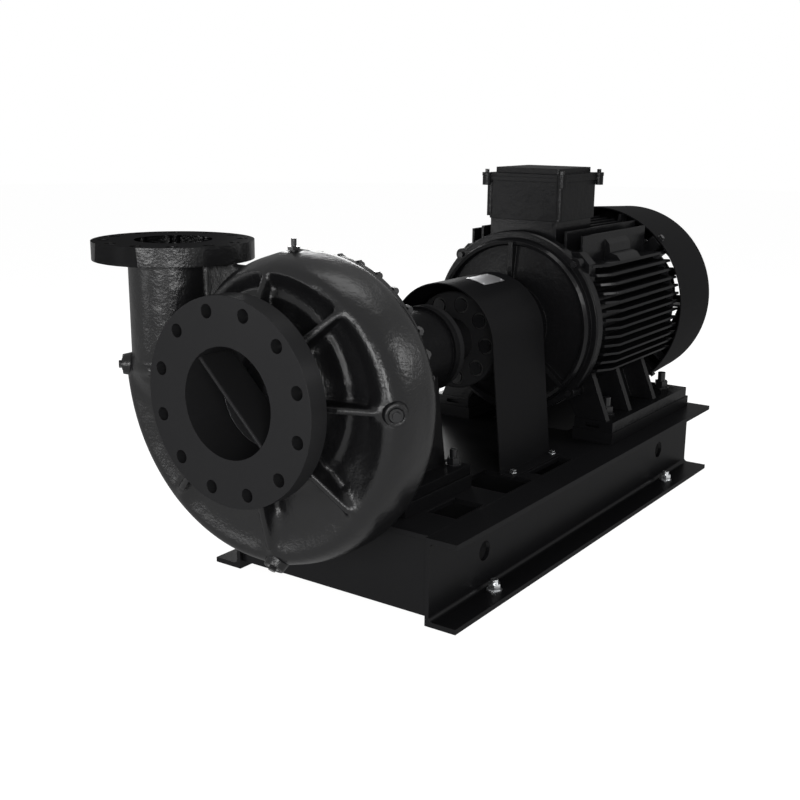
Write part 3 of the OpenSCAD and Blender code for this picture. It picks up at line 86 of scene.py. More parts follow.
@dataclass(frozen=True)
class Finish:
    """One finish of the pump set, with the sizes of its surface detail.

    Attributes:
        name: Name of the material.
        colour: Base colour, linear.
        roughness: Roughness in the middle of its spread.
        skin: How the surface under it was formed.
        metallic: 1 for bare metal, 0 for paint, plastic and rubber.
        specular: Specular level of the shader.
        coat: Weight of a clear gloss layer.
        gloss: Roughness of that layer.
        grain: Size of the surface grain.
        depth: Height of the grain.
        lumps: Height of the slow waves in the surface.
        edge: Radius that edges are rounded to in shading.
        wear_and_sheen: How far edges lose their paint or polish, and how far a painted sheen
            lightens them.
        spread: How far colour and roughness vary.
    """

    name: str
    colour: Rgb
    roughness: float
    skin: Skin
    metallic: float = 0.0
    specular: float = 0.5
    coat: float = 0.0
    gloss: float = 0.2
    grain: float = 0.004
    depth: float = 0.0001
    lumps: float = 0.0
    edge: float = 0.0012
    wear_and_sheen: float = 0.2
    spread: float = 0.1


class Finishes(Enum):
    """Every finish on the pump set."""

    CASTING = Finish(
        "black_paint_on_casting", (0.0045, 0.0045, 0.0048), 0.45, Skin.CAST,
        specular=0.0, coat=0.24, gloss=0.24, grain=0.0042, depth=0.0009, lumps=0.0022,
        edge=0.004, wear_and_sheen=0.15, spread=0.16,
    )
    FRAME_CASTING = Finish(
        "dull_black_paint_on_casting", (0.004, 0.004, 0.0043), 0.45, Skin.CAST,
        specular=0.0, coat=0.04, gloss=0.3, grain=0.0055, depth=0.001, lumps=0.0016,
        edge=0.003, wear_and_sheen=0.15, spread=0.16,
    )
    FLANGE_FACE = Finish(
        "black_paint_on_turned_face", (0.011, 0.011, 0.0115), 0.45, Skin.TURNED,
        specular=0.0, coat=0.05, gloss=0.3, grain=0.0016, depth=0.00003, lumps=0.0002,
        edge=0.0016, wear_and_sheen=0.3, spread=0.08,
    )
    GASKET_FACE = Finish(
        "matt_black_gasket_face", (0.006, 0.006, 0.0064), 0.5, Skin.TURNED,
        specular=0.0, coat=0.02, gloss=0.34, grain=0.0016, depth=0.00003, lumps=0.0002,
        edge=0.0016, wear_and_sheen=0.3, spread=0.08,
    )
    MOTOR_CASTING = Finish(
        "black_paint_on_motor", (0.0045, 0.0045, 0.0049), 0.45, Skin.CAST,
        specular=0.0, coat=0.13, gloss=0.22, grain=0.0045, depth=0.0006, lumps=0.0008,
        edge=0.0016, wear_and_sheen=0.25, spread=0.12,
    )
    BOX_CASTING = Finish(
        "black_paint_on_terminal_box", (0.006, 0.006, 0.0064), 0.45, Skin.CAST,
        specular=0.0, coat=0.09, gloss=0.28, grain=0.009, depth=0.0012, lumps=0.0016,
        edge=0.002, wear_and_sheen=0.3, spread=0.2,
    )
    ROLLED_STEEL = Finish(
        "black_paint_on_rolled_steel", (0.004, 0.004, 0.0044), 0.5, Skin.SHEET,
        specular=0.0, coat=0.1, gloss=0.34, grain=0.003, depth=0.00006, lumps=0.0004,
        edge=0.0012, wear_and_sheen=0.35, spread=0.12,
    )
    PRESSED_SHEET = Finish(
        "black_paint_on_pressed_sheet", (0.0052, 0.0052, 0.0056), 0.45, Skin.SHEET,
        specular=0.0, coat=0.045, gloss=0.34, grain=0.0024, depth=0.00003, lumps=0.0003,
        edge=0.0008, wear_and_sheen=0.25, spread=0.08,
    )
    COWL_SHEET = Finish(
        "black_paint_on_cowl", (0.006, 0.006, 0.0064), 0.45, Skin.SHEET,
        specular=0.0, coat=0.04, gloss=0.3, grain=0.0022, depth=0.00004, lumps=0.0003,
        edge=0.0012, wear_and_sheen=0.2, spread=0.08,
    )
    PAINTED_BOLTS = Finish(
        "black_paint_on_bolts", (0.0055, 0.0055, 0.006), 0.4, Skin.SHEET,
        specular=0.05, coat=0.25, gloss=0.22, grain=0.003, depth=0.00005, edge=0.0007,
        wear_and_sheen=0.5, spread=0.15,
    )
    ZINC = Finish(
        "zinc_plate", (0.58, 0.59, 0.6), 0.28, Skin.SHEET, metallic=1.0,
        grain=0.0018, depth=0.00002, edge=0.0006, wear_and_sheen=0.1, spread=0.2,
    )
    TURNED_STEEL = Finish(
        "turned_steel", (0.42, 0.425, 0.43), 0.26, Skin.TURNED, metallic=1.0,
        grain=0.0009, depth=0.00002, edge=0.0005, wear_and_sheen=0.1, spread=0.12,
    )
    BEARING_STEEL = Finish(
        "polished_bearing_steel", (0.52, 0.525, 0.53), 0.14, Skin.TURNED,
        metallic=1.0, grain=0.0007, depth=0.000005, edge=0.0004, wear_and_sheen=0.0,
        spread=0.05,
    )
    BARE_IRON = Finish(
        "bare_grey_iron", (0.11, 0.11, 0.115), 0.5, Skin.CAST, metallic=0.9,
        grain=0.003, depth=0.00012, lumps=0.0003, edge=0.0012, wear_and_sheen=0.3,
        spread=0.25,
    )
    LAMINATION = Finish(
        "stacked_laminations", (0.13, 0.135, 0.14), 0.45, Skin.TURNED,
        metallic=0.9, grain=0.001, depth=0.00005, edge=0.0004, wear_and_sheen=0.2,
        spread=0.2,
    )
    WINDING = Finish(
        "varnished_winding", (0.3, 0.1, 0.03), 0.3, Skin.TURNED, specular=0.5,
        coat=0.25, grain=0.003, depth=0.0006, edge=0.001, wear_and_sheen=0.0, spread=0.3,
    )
    BLACK_RUBBER = Finish(
        "black_rubber", (0.012, 0.012, 0.012), 0.6, Skin.MOULDED, specular=0.3,
        grain=0.001, depth=0.00003, edge=0.0008, wear_and_sheen=0.1, spread=0.15,
    )
    CARBON = Finish(
        "seal_carbon", (0.02, 0.02, 0.022), 0.35, Skin.TURNED, specular=0.5,
        grain=0.0008, depth=0.00001, edge=0.0004, wear_and_sheen=0.1, spread=0.1,
    )
    FIBRE_SHEET = Finish(
        "gasket_sheet", (0.09, 0.12, 0.085), 0.8, Skin.MOULDED, specular=0.2,
        grain=0.0012, depth=0.0001, edge=0.0003, wear_and_sheen=0.2, spread=0.35,
    )
    FAN_PLASTIC = Finish(
        "moulded_black_plastic", (0.014, 0.014, 0.016), 0.45, Skin.MOULDED,
        specular=0.4, grain=0.001, depth=0.00002, edge=0.001, wear_and_sheen=0.1,
        spread=0.1,
    )
    BROWN_BOARD = Finish(
        "moulded_brown_board", (0.2, 0.085, 0.035), 0.4, Skin.MOULDED,
        specular=0.5, grain=0.001, depth=0.00003, edge=0.001, wear_and_sheen=0.1,
        spread=0.15,
    )
    BARE_PLATE = Finish(
        "bare_aluminium_plate", (0.42, 0.42, 0.43), 0.38, Skin.SHEET,
        metallic=1.0, grain=0.0012, depth=0.00002, edge=0.0003, wear_and_sheen=0.1,
        spread=0.15,
    )


class NodeMaker:
    """Adds and links nodes in one node tree."""

    def __init__(self, tree: bpy.types.NodeTree) -> None:
        """Keeps the tree.

        Args:
            tree: Node tree of a material, a world or a group.
        """
        self.tree = tree
        self.column = 0

    def add(self, kind: str, **settings: object) -> bpy.types.Node:
        """Adds a node and sets its properties.

        Args:
            kind: Blender's type name of the node.
            **settings: Properties of the node and their values.

        Returns:
            The new node.
        """
        node = self.tree.nodes.new(kind)
        node.location = (self.column * 190, 0)
        self.column += 1
        for key, value in settings.items():
            setattr(node, key, value)
        return node

    def join(self, source: object, target: bpy.types.NodeSocket) -> None:
        """Links a socket to an input, or sets the input to a plain value.

        Args:
            source: Output socket, or a number, vector or colour.
            target: Input socket that takes it.
        """
        if isinstance(source, bpy.types.NodeSocket):
            self.tree.links.new(source, target)
        else:
            target.default_value = source

    def maths(self, operation: str, *terms: object) -> bpy.types.NodeSocket:
        """Adds a Math node.

        Args:
            operation: Name of the operation.
            *terms: Sockets or numbers.

        Returns:
            Its result.
        """
        node = self.add("ShaderNodeMath", operation=operation)
        for socket, term in zip(node.inputs, terms):
            self.join(term, socket)
        return node.outputs[0]

    def noise(self, vector: object, scale: object, detail: float = 3.0) -> bpy.types.NodeSocket:
        """Adds a noise texture.

        Args:
            vector: Place that the noise reads.
            scale: Number of waves in a metre.
            detail: Number of finer layers.

        Returns:
            The noise, from 0 to 1.
        """
        node = self.add("ShaderNodeTexNoise", noise_dimensions="3D")
        self.join(vector, node.inputs["Vector"])
        self.join(scale, node.inputs["Scale"])
        node.inputs["Detail"].default_value = detail
        return node.outputs["Fac"]

    def remap(
        self, value: object, low: float, high: float, to: tuple[float, float],
    ) -> bpy.types.NodeSocket:
        """Maps a span of values to another one and clamps them.

        Args:
            value: Socket to map.
            low: Lower end of the span.
            high: Upper end of the span.
            to: Both ends of the new span.

        Returns:
            The mapped value.
        """
        node = self.add("ShaderNodeMapRange", clamp=True)
        self.join(value, node.inputs["Value"])
        node.inputs["From Min"].default_value = low
        node.inputs["From Max"].default_value = high
        node.inputs["To Min"].default_value = to[0]
        node.inputs["To Max"].default_value = to[1]
        return node.outputs["Result"]


class EffectGroup:
    """A shader node group with named inputs and outputs, built once."""

    def __init__(self, name: str, takes: dict[str, str], gives: dict[str, str]) -> None:
        """Makes the group's tree and its sockets.

        Args:
            name: Name of the group.
            takes: Input names and their socket types.
            gives: Output names and their socket types.
        """
        self.tree = bpy.data.node_groups.new(name, "ShaderNodeTree")
        for label, kind in takes.items():
            self.tree.interface.new_socket(label, in_out="INPUT", socket_type=kind)
        for label, kind in gives.items():
            self.tree.interface.new_socket(label, in_out="OUTPUT", socket_type=kind)
        self.maker = NodeMaker(self.tree)
        self.source = self.maker.add("NodeGroupInput").outputs
        self.target = self.maker.add("NodeGroupOutput").inputs

    def place(self, maker: NodeMaker, **values: object) -> bpy.types.Node:
        """Places the group in a material.

        Args:
            maker: Maker of that material's nodes.
            **values: Values or sockets of the inputs, with underscores for spaces.

        Returns:
            The group's node.
        """
        node = maker.add("ShaderNodeGroup", node_tree=self.tree)
        for key, value in values.items():
            maker.join(value, node.inputs[key.replace("_", " ")])
        return node


FLOAT = "NodeSocketFloat"
VECTOR = "NodeSocketVector"
COLOUR = "NodeSocketColor"


def relief_group(name: str, build: Callable[[NodeMaker, object, object], object]) -> EffectGroup:
    """Makes a group that puts out the height of a surface's relief.

    Args:
        name: Name of the group.
        build: Function that turns the maker, the place and the grain's scale into a
            fine pattern from 0 to 1.

    Returns:
        The group, whose height is in metres.
    """
    group = EffectGroup(
        name,
        {"Vector": VECTOR, "Scale": FLOAT, "Depth": FLOAT, "Lumps": FLOAT},
        {"Height": FLOAT},
    )
    make, take = group.maker, group.source
    fine = build(make, take["Vector"], take["Scale"])
    slow = make.noise(take["Vector"], LUMP_WAVES, 1.5)
    height = make.maths(
        "ADD",
        make.maths("MULTIPLY", fine, take["Depth"]),
        make.maths("MULTIPLY", slow, take["Lumps"]),
    )
    make.join(height, group.target["Height"])
    return group


def sand_cast_pattern(make: NodeMaker, vector: object, scale: object) -> bpy.types.NodeSocket:
    """Sand grain with soft pits, as on a painted casting.

    Args:
        make: Maker of the group's nodes.
        vector: Place that the pattern reads.
        scale: Number of grains in a metre.

    Returns:
        The pattern, from 0 to 1.
    """
    grain = make.noise(vector, scale, 4.0)
    pits = make.add("ShaderNodeTexVoronoi", feature="SMOOTH_F1")
    make.join(vector, pits.inputs["Vector"])
    make.join(make.maths("MULTIPLY", scale, 0.45), pits.inputs["Scale"])
    pits.inputs["Smoothness"].default_value = 0.6
    return make.maths(
        "ADD",
        make.maths("MULTIPLY", grain, 0.65),
        make.maths("MULTIPLY", pits.outputs["Distance"], 0.35),
    )


def paint_ripple_pattern(make: NodeMaker, vector: object, scale: object) -> bpy.types.NodeSocket:
    """Fine ripple of sprayed paint on sheet.

    Args:
        make: Maker of the group's nodes.
        vector: Place that the pattern reads.
        scale: Number of ripples in a metre.

    Returns:
        The pattern, from 0 to 1.
    """
    return make.noise(vector, scale, 1.0)


def turned_pattern(make: NodeMaker, vector: object, scale: object) -> bpy.types.NodeSocket:
    """Fine rings round the shaft axis, as a lathe tool leaves them.

    Args:
        make: Maker of the group's nodes.
        vector: Place that the pattern reads.
        scale: Number of rings in a metre.

    Returns:
        The pattern, from 0 to 1.
    """
    split = make.add("ShaderNodeSeparateXYZ")
    make.join(vector, split.inputs[0])
    x_square = make.maths("POWER", split.outputs["X"], 2.0)
    z_square = make.maths("POWER", split.outputs["Z"], 2.0)
    radius = make.maths("SQRT", make.maths("ADD", x_square, z_square))
    along = make.maths("ADD", radius, split.outputs["Y"])
    phase = make.maths("MULTIPLY", make.maths("MULTIPLY", along, scale), 2 * math.pi)
    rings = make.maths("MULTIPLY_ADD", make.maths("SINE", phase), 0.25, 0.25)
    return make.maths("ADD", rings, make.maths("MULTIPLY", make.noise(vector, scale, 2.0), 0.5))


def edge_wear_and_sheen_group() -> EffectGroup:
    """Makes the group that finds edges and breaks them up, for rubbed paint and a painted edge
    sheen.

    Returns:
        The group. Its mask is 1 on an edge of rubbed paint and painted sheen, and 0 elsewhere.
    """
    group = EffectGroup(
        "edge_wear_and_sheen",
        {"Vector": VECTOR, "Rounded": VECTOR, "Amount": FLOAT},
        {"Mask": FLOAT},
    )
    make, take = group.maker, group.source
    plain = make.add("ShaderNodeNewGeometry")
    turn = make.add("ShaderNodeVectorMath", operation="DOT_PRODUCT")
    make.join(take["Rounded"], turn.inputs[0])
    make.join(plain.outputs["Normal"], turn.inputs[1])
    # Edges found from the rounded shading normal; they mark rubbed paint and a painted edge sheen.
    edge = make.remap(turn.outputs["Value"], 0.995, 0.8, (0.0, 1.0))
    patches = make.remap(make.noise(take["Vector"], PATCH_WAVES, 4.0), 0.42, 0.62, (0.15, 1.0))
    worn_and_sheened = make.maths("MULTIPLY", make.maths("MULTIPLY", edge, patches), take["Amount"])
    make.join(worn_and_sheened, group.target["Mask"])
    return group


def variation_group() -> EffectGroup:
    """Makes the group that varies a finish's colour and roughness.

    Returns:
        The group. It takes the edges' mask and puts out colour and roughness; masked edges are
        mixed towards a lighter grey, for rubbed paint and a painted sheen.
    """
    group = EffectGroup(
        "finish_variation",
        {"Vector": VECTOR, "Colour": COLOUR, "Roughness": FLOAT, "Spread": FLOAT, "Wear": FLOAT},
        {"Colour": COLOUR, "Roughness": FLOAT},
    )
    make, take = group.maker, group.source
    cloud = make.maths("MULTIPLY", make.noise(take["Vector"], CLOUD_WAVES, 5.0), 0.7)
    speck = make.maths("MULTIPLY", make.noise(take["Vector"], SPECK_WAVES, 2.0), 0.3)
    both = make.maths("ADD", cloud, speck)
    swing = make.maths("MULTIPLY", make.maths("SUBTRACT", both, 0.5), take["Spread"])
    level = make.maths("MULTIPLY_ADD", swing, 2.0, 1.0)
    tint = make.add("ShaderNodeVectorMath", operation="SCALE")
    make.join(take["Colour"], tint.inputs[0])
    make.join(level, tint.inputs["Scale"])
    # Mixes masked edges towards the lighter grey, which paints a sheen onto black paint as well as
    # rubbed paint.
    bare = make.add("ShaderNodeMix", data_type="RGBA", blend_type="MIX")
    make.join(make.maths("MULTIPLY", take["Wear"], 0.35), bare.inputs["Factor"])
    make.join(tint.outputs["Vector"], bare.inputs["A"])
    bare.inputs["B"].default_value = WORN_AND_SHEEN_COLOUR
    make.join(bare.outputs["Result"], group.target["Colour"])
    rough = make.maths("MULTIPLY_ADD", swing, 1.2, take["Roughness"])
    rough = make.maths("SUBTRACT", rough, make.maths("MULTIPLY", take["Wear"], 0.08))
    make.join(make.maths("MAXIMUM", rough, 0.05), group.target["Roughness"])
    return group


class PaintShop:
    """Makes each finish's material once, from shared effect groups."""

    def __init__(self) -> None:
        """Builds the effect groups."""
        self.reliefs = {
            Skin.CAST: relief_group("sand_cast_relief", sand_cast_pattern),
            Skin.SHEET: relief_group("paint_ripple_relief", paint_ripple_pattern),
            Skin.TURNED: relief_group("turned_relief", turned_pattern),
            Skin.MOULDED: relief_group("moulded_relief", paint_ripple_pattern),
        }
        self.wear_and_sheen = edge_wear_and_sheen_group()
        self.variation = variation_group()
        self.made: dict[str, bpy.types.Material] = {}

    def material(self, choice: Finishes) -> bpy.types.Material:
        """Returns the material of a finish, and makes it when it is first asked for.

        Args:
            choice: The finish.

        Returns:
            Its material.
        """
        finish = choice.value
        if finish.name not in self.made:
            self.made[finish.name] = self._make(finish)
        return self.made[finish.name]

    def _make(self, finish: Finish) -> bpy.types.Material:
        """Builds one material.

        Args:
            finish: The finish to build.

        Returns:
            The material.
        """
        material = bpy.data.materials.new(finish.name)
        material.use_nodes = True
        material.node_tree.nodes.clear()
        make = NodeMaker(material.node_tree)
        place = make.add("ShaderNodeTexCoord").outputs["Object"]
        rounded = make.add("ShaderNodeBevel", samples=4)
        rounded.inputs["Radius"].default_value = finish.edge
        # Mask of edges that get rubbed paint and a painted sheen.
        wear_and_sheen = self.wear_and_sheen.place(
            make, Vector=place, Rounded=rounded.outputs["Normal"], Amount=finish.wear_and_sheen,
        )
        varied = self.variation.place(
            make, Vector=place, Colour=(*finish.colour, 1.0), Roughness=finish.roughness,
            Spread=finish.spread, Wear=wear_and_sheen.outputs["Mask"],
        )
        relief = self.reliefs[finish.skin].place(
            make, Vector=place, Scale=1.0 / finish.grain, Depth=finish.depth, Lumps=finish.lumps,
        )
        bump = make.add("ShaderNodeBump")
        bump.inputs["Distance"].default_value = 1.0
        bump.inputs["Strength"].default_value = 1.0
        make.join(relief.outputs["Height"], bump.inputs["Height"])
        make.join(rounded.outputs["Normal"], bump.inputs["Normal"])
        shader = make.add("ShaderNodeBsdfPrincipled")
        make.join(varied.outputs["Colour"], shader.inputs["Base Color"])
        make.join(varied.outputs["Roughness"], shader.inputs["Roughness"])
        make.join(bump.outputs["Normal"], shader.inputs["Normal"])
        make.join(bump.outputs["Normal"], shader.inputs["Coat Normal"])
        shader.inputs["Metallic"].default_value = finish.metallic
        shader.inputs["Specular IOR Level"].default_value = finish.specular
        shader.inputs["Coat Weight"].default_value = finish.coat
        shader.inputs["Coat Roughness"].default_value = finish.gloss
        shader.inputs["Coat IOR"].default_value = PAINT_COAT_IOR
        out = make.add("ShaderNodeOutputMaterial")
        make.join(shader.outputs["BSDF"], out.inputs["Surface"])
        material.diffuse_color = (*finish.colour, 1.0)
        return material

    def dress(self, choice: Finishes, *names: str) -> None:
        """Gives CAD nodes their finish.

        Args:
            choice: The finish.
            *names: Names of the CAD nodes.
        """
        for name in names:
            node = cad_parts[name]
            node.data.materials.clear()
            node.data.materials.append(self.material(choice))
            log.info("node %s: %s", name, choice.value.name)


@dataclass(frozen=True)
class Softbox:
    """Rectangular soft lamp.

    Attributes:
        name: Name of the lamp.
        place: Where it hangs.
        target: Point that it faces.
        size: Width and height.
        power: Power in watts.
    """

    name: str
    place: Point
    target: Point
    size: tuple[float, float]
    power: float

    def hang(self) -> None:
        """Makes the lamp and turns it to its target."""
        data = bpy.data.lights.new(self.name, "AREA")
        data.shape = "RECTANGLE"
        data.size, data.size_y = self.size
        data.energy = self.power
        lamp = bpy.data.objects.new(self.name, data)
        bpy.context.scene.collection.objects.link(lamp)
        lamp.location = self.place
        aim = Vector(self.target) - Vector(self.place)
        lamp.rotation_mode = "QUATERNION"
        lamp.rotation_quaternion = aim.to_track_quat("-Z", "Y")


SOFTBOXES = (
    Softbox("top_softbox", (0.2, 1.2, 2.7), (0.0, 0.7, 0.0), (1.2, 2.2), 36.0),
    Softbox("key_softbox", (1.9, -1.9, 0.45), (0.2, 0.1, 0.0), (1.2, 0.9), 54.0),
    Softbox("front_softbox", (0.1, -2.8, 0.45), (0.1, 0.3, 0.1), (1.3, 0.8), 52.0),
    Softbox("low_softbox", (-2.2, -2.9, 0.05), (0.0, 0.8, 0.2), (0.8, 0.5), 12.0),
    Softbox("left_softbox", (-3.0, 0.3, 1.0), (0.0, 0.5, 0.0), (1.0, 1.0), 30.0),
    Softbox("right_softbox", (2.9, 2.4, 1.5), (0.1, 0.9, 0.0), (0.9, 0.9), 30.0),
    Softbox("rear_softbox", (-2.4, 3.6, 0.9), (0.0, 1.2, 0.1), (1.2, 1.0), 56.0),
)


@dataclass
class Studio:
    """White floor and backdrop, soft lamps, and the camera at the photograph's place.

    Attributes:
        position: Place of the camera.
        yaw: Turn of the view about Z, in radians, from +Y towards -X.
        pitch: Angle that the view looks down, in radians.
        roll: Turn about the view's own axis, in radians.
        focal: Focal length in pixels.
        image_width: Width in pixels of the photograph.
        sensor: Width of the camera's sensor, in millimetres.
        clip: Nearest and farthest distance that the camera sees.
        soft_light: Strength of the light from all round.
        floor_r: Radius of the floor.
        floor_middle: Y of its middle.
        floor_gap: Gap between the floor and the base.
        floor_grey: Lightness of the floor.
        floor_glow: Strength of the white that stands in for the lit floor.
        glow_share: Share of that white in the floor as seen.
    """

    position: Vector = field(default_factory=lambda: Vector((1.3425, -1.3951, 0.4910)))
    yaw: float = 0.6096
    pitch: float = 0.2462
    roll: float = 0.0095
    focal: float = 1133.4
    image_width: float = 800.0
    sensor: float = 36.0
    clip: tuple[float, float] = (0.05, 60.0)
    soft_light: float = 0.3
    floor_r: float = 14.0
    floor_middle: float = 0.8
    floor_gap: float = 0.0004
    floor_grey: float = 0.86
    floor_glow: float = 1.15
    glow_share: float = 0.82

    def build(self) -> None:
        """Makes the camera, the world, the floor and the lamps."""
        self._camera()
        self._world()
        self._floor()
        for softbox in SOFTBOXES:
            softbox.hang()

    def _camera(self) -> None:
        """Makes the camera and turns it as the photograph's."""
        data = bpy.data.cameras.new("photo_camera")
        data.sensor_width = self.sensor
        data.lens = self.focal * self.sensor / self.image_width
        data.clip_start, data.clip_end = self.clip
        camera = bpy.data.objects.new("photo_camera", data)
        bpy.context.scene.collection.objects.link(camera)
        ahead = Vector((-math.sin(self.yaw), math.cos(self.yaw), 0.0))
        side = Vector((math.cos(self.yaw), math.sin(self.yaw), 0.0))
        view = ahead * math.cos(self.pitch) - AXIS_Z * math.sin(self.pitch)
        up = AXIS_Z * math.cos(self.pitch) + ahead * math.sin(self.pitch)
        right = side * math.cos(self.roll) + up * math.sin(self.roll)
        top = up * math.cos(self.roll) - side * math.sin(self.roll)
        turn = Matrix((right, top, -view)).transposed().to_4x4()
        camera.matrix_world = Matrix.Translation(self.position) @ turn
        bpy.context.scene.camera = camera

    def _world(self) -> None:
        """Makes a world that is white where it is seen and soft where it lights."""
        world = bpy.data.worlds.new("studio")
        world.use_nodes = True
        world.node_tree.nodes.clear()
        make = NodeMaker(world.node_tree)
        seen = self._seen(make)
        soft = make.add("ShaderNodeBackground")
        soft.inputs["Color"].default_value = WHITE
        soft.inputs["Strength"].default_value = self.soft_light
        white = make.add("ShaderNodeBackground")
        white.inputs["Color"].default_value = WHITE
        white.inputs["Strength"].default_value = 1.0
        mix = make.add("ShaderNodeMixShader")
        make.join(seen, mix.inputs["Fac"])
        make.join(soft.outputs[0], mix.inputs[1])
        make.join(white.outputs[0], mix.inputs[2])
        out = make.add("ShaderNodeOutputWorld")
        make.join(mix.outputs[0], out.inputs["Surface"])
        bpy.context.scene.world = world

    @staticmethod
    def _seen(make: NodeMaker) -> bpy.types.NodeSocket:
        """Adds nodes that tell what the camera, metal and glass see.

        Args:
            make: Maker of the tree's nodes.

        Returns:
            1 for camera, glossy and transmission rays, and 0 for the others.
        """
        path = make.add("ShaderNodeLightPath").outputs
        pair = make.maths("MAXIMUM", path["Is Camera Ray"], path["Is Glossy Ray"])
        return make.maths("MAXIMUM", pair, path["Is Transmission Ray"])

    def _floor(self) -> None:
        """Makes a wide round floor under the base."""
        bm = bmesh.new()
        bmesh.ops.create_circle(bm, cap_ends=True, segments=64, radius=self.floor_r)
        low = FLOOR_Z - self.floor_gap
        bmesh.ops.translate(bm, verts=bm.verts, vec=(0.0, self.floor_middle, low))
        mesh = bpy.data.meshes.new("studio_floor")
        bm.to_mesh(mesh)
        bm.free()
        floor = bpy.data.objects.new("studio_floor", mesh)
        bpy.context.scene.collection.objects.link(floor)
        material = bpy.data.materials.new("studio_floor")
        material.use_nodes = True
        material.node_tree.nodes.clear()
        make = NodeMaker(material.node_tree)
        matt = make.add("ShaderNodeBsdfDiffuse")
        matt.inputs["Color"].default_value = (*[self.floor_grey] * 3, 1.0)
        glow = make.add("ShaderNodeEmission")
        glow.inputs["Strength"].default_value = self.floor_glow
        share = make.maths("MULTIPLY", self._seen(make), self.glow_share)
        mix = make.add("ShaderNodeMixShader")
        make.join(share, mix.inputs["Fac"])
        make.join(matt.outputs[0], mix.inputs[1])
        make.join(glow.outputs[0], mix.inputs[2])
        out = make.add("ShaderNodeOutputMaterial")
        make.join(mix.outputs[0], out.inputs["Surface"])
        mesh.materials.append(material)


def node_mesh(node: str) -> bmesh.types.BMesh:
    """Copies a CAD node's mesh and joins its split corners.

    Args:
        node: Name of the CAD node.

    Returns:
        The copy.
    """
    bm = bmesh.new()
    bm.from_mesh(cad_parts[node].data)
    bmesh.ops.remove_doubles(bm, verts=bm.verts, dist=1e-5)
    return bm


def keep_faces(bm: bmesh.types.BMesh, keep: Callable[[bmesh.types.BMFace], bool]) -> None:
    """Deletes the faces that a test turns down, with the loose edges and corners.

    Args:
        bm: Mesh to trim.
        keep: Test that a face passes to stay.
    """
    gone = [face for face in bm.faces if not keep(face)]
    bmesh.ops.delete(bm, geom=gone, context="FACES")


def shade(bm: bmesh.types.BMesh, sharp: float = math.radians(32.0)) -> None:
    """Shades faces smooth and keeps the edges sharp that bend more than an angle.

    Args:
        bm: Mesh to shade.
        sharp: The angle, in radians.
    """
    for face in bm.faces:
        face.smooth = True
    for edge in bm.edges:
        edge.smooth = not (len(edge.link_faces) == 2 and edge.calc_face_angle(0.0) > sharp)


def finish_piece(
    name: str,
    bm: bmesh.types.BMesh,
    material: bpy.types.Material,
    body: str,
    replaces: Iterable[str] = (),
) -> bpy.types.Object:
    """Turns a mesh into a piece of the object.

    Args:
        name: Name of the piece.
        bm: Its mesh, which is freed.
        material: Its material.
        body: CAD body that it moves with.
        replaces: CAD nodes that it stands for.

    Returns:
        The piece.
    """
    mesh = bpy.data.meshes.new(name)
    bm.to_mesh(mesh)
    bm.free()
    mesh.materials.append(material)
    piece = bpy.data.objects.new(name, mesh)
    bpy.context.scene.collection.objects.link(piece)
    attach(piece, body)
    if replaces:
        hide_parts(*replaces)
    log.info("piece %s: %d faces", name, len(mesh.polygons))
    return piece


def softened(
    bm: bmesh.types.BMesh, voxel: float, rounds: int, factor: float = 0.5,
) -> bmesh.types.BMesh:
    """Rebuilds a closed mesh from cubes and smooths it, so that edges turn into fillets.

    Args:
        bm: Closed mesh, which is freed.
        voxel: Size of the cubes.
        rounds: Number of smoothing steps.
        factor: Strength of each step.

    Returns:
        The softened mesh.
    """
    mesh = bpy.data.meshes.new("softening")
    bm.to_mesh(mesh)
    bm.free()
    helper = bpy.data.objects.new("softening", mesh)
    bpy.context.scene.collection.objects.link(helper)
    remesh = helper.modifiers.new("remesh", "REMESH")
    remesh.mode = "VOXEL"
    remesh.voxel_size = voxel
    smooth = helper.modifiers.new("smooth", "SMOOTH")
    smooth.factor = factor
    smooth.iterations = rounds
    graph = bpy.context.evaluated_depsgraph_get()
    made = bmesh.new()
    made.from_mesh(helper.evaluated_get(graph).to_mesh())
    bpy.data.objects.remove(helper)
    bpy.data.meshes.remove(mesh)
    return made


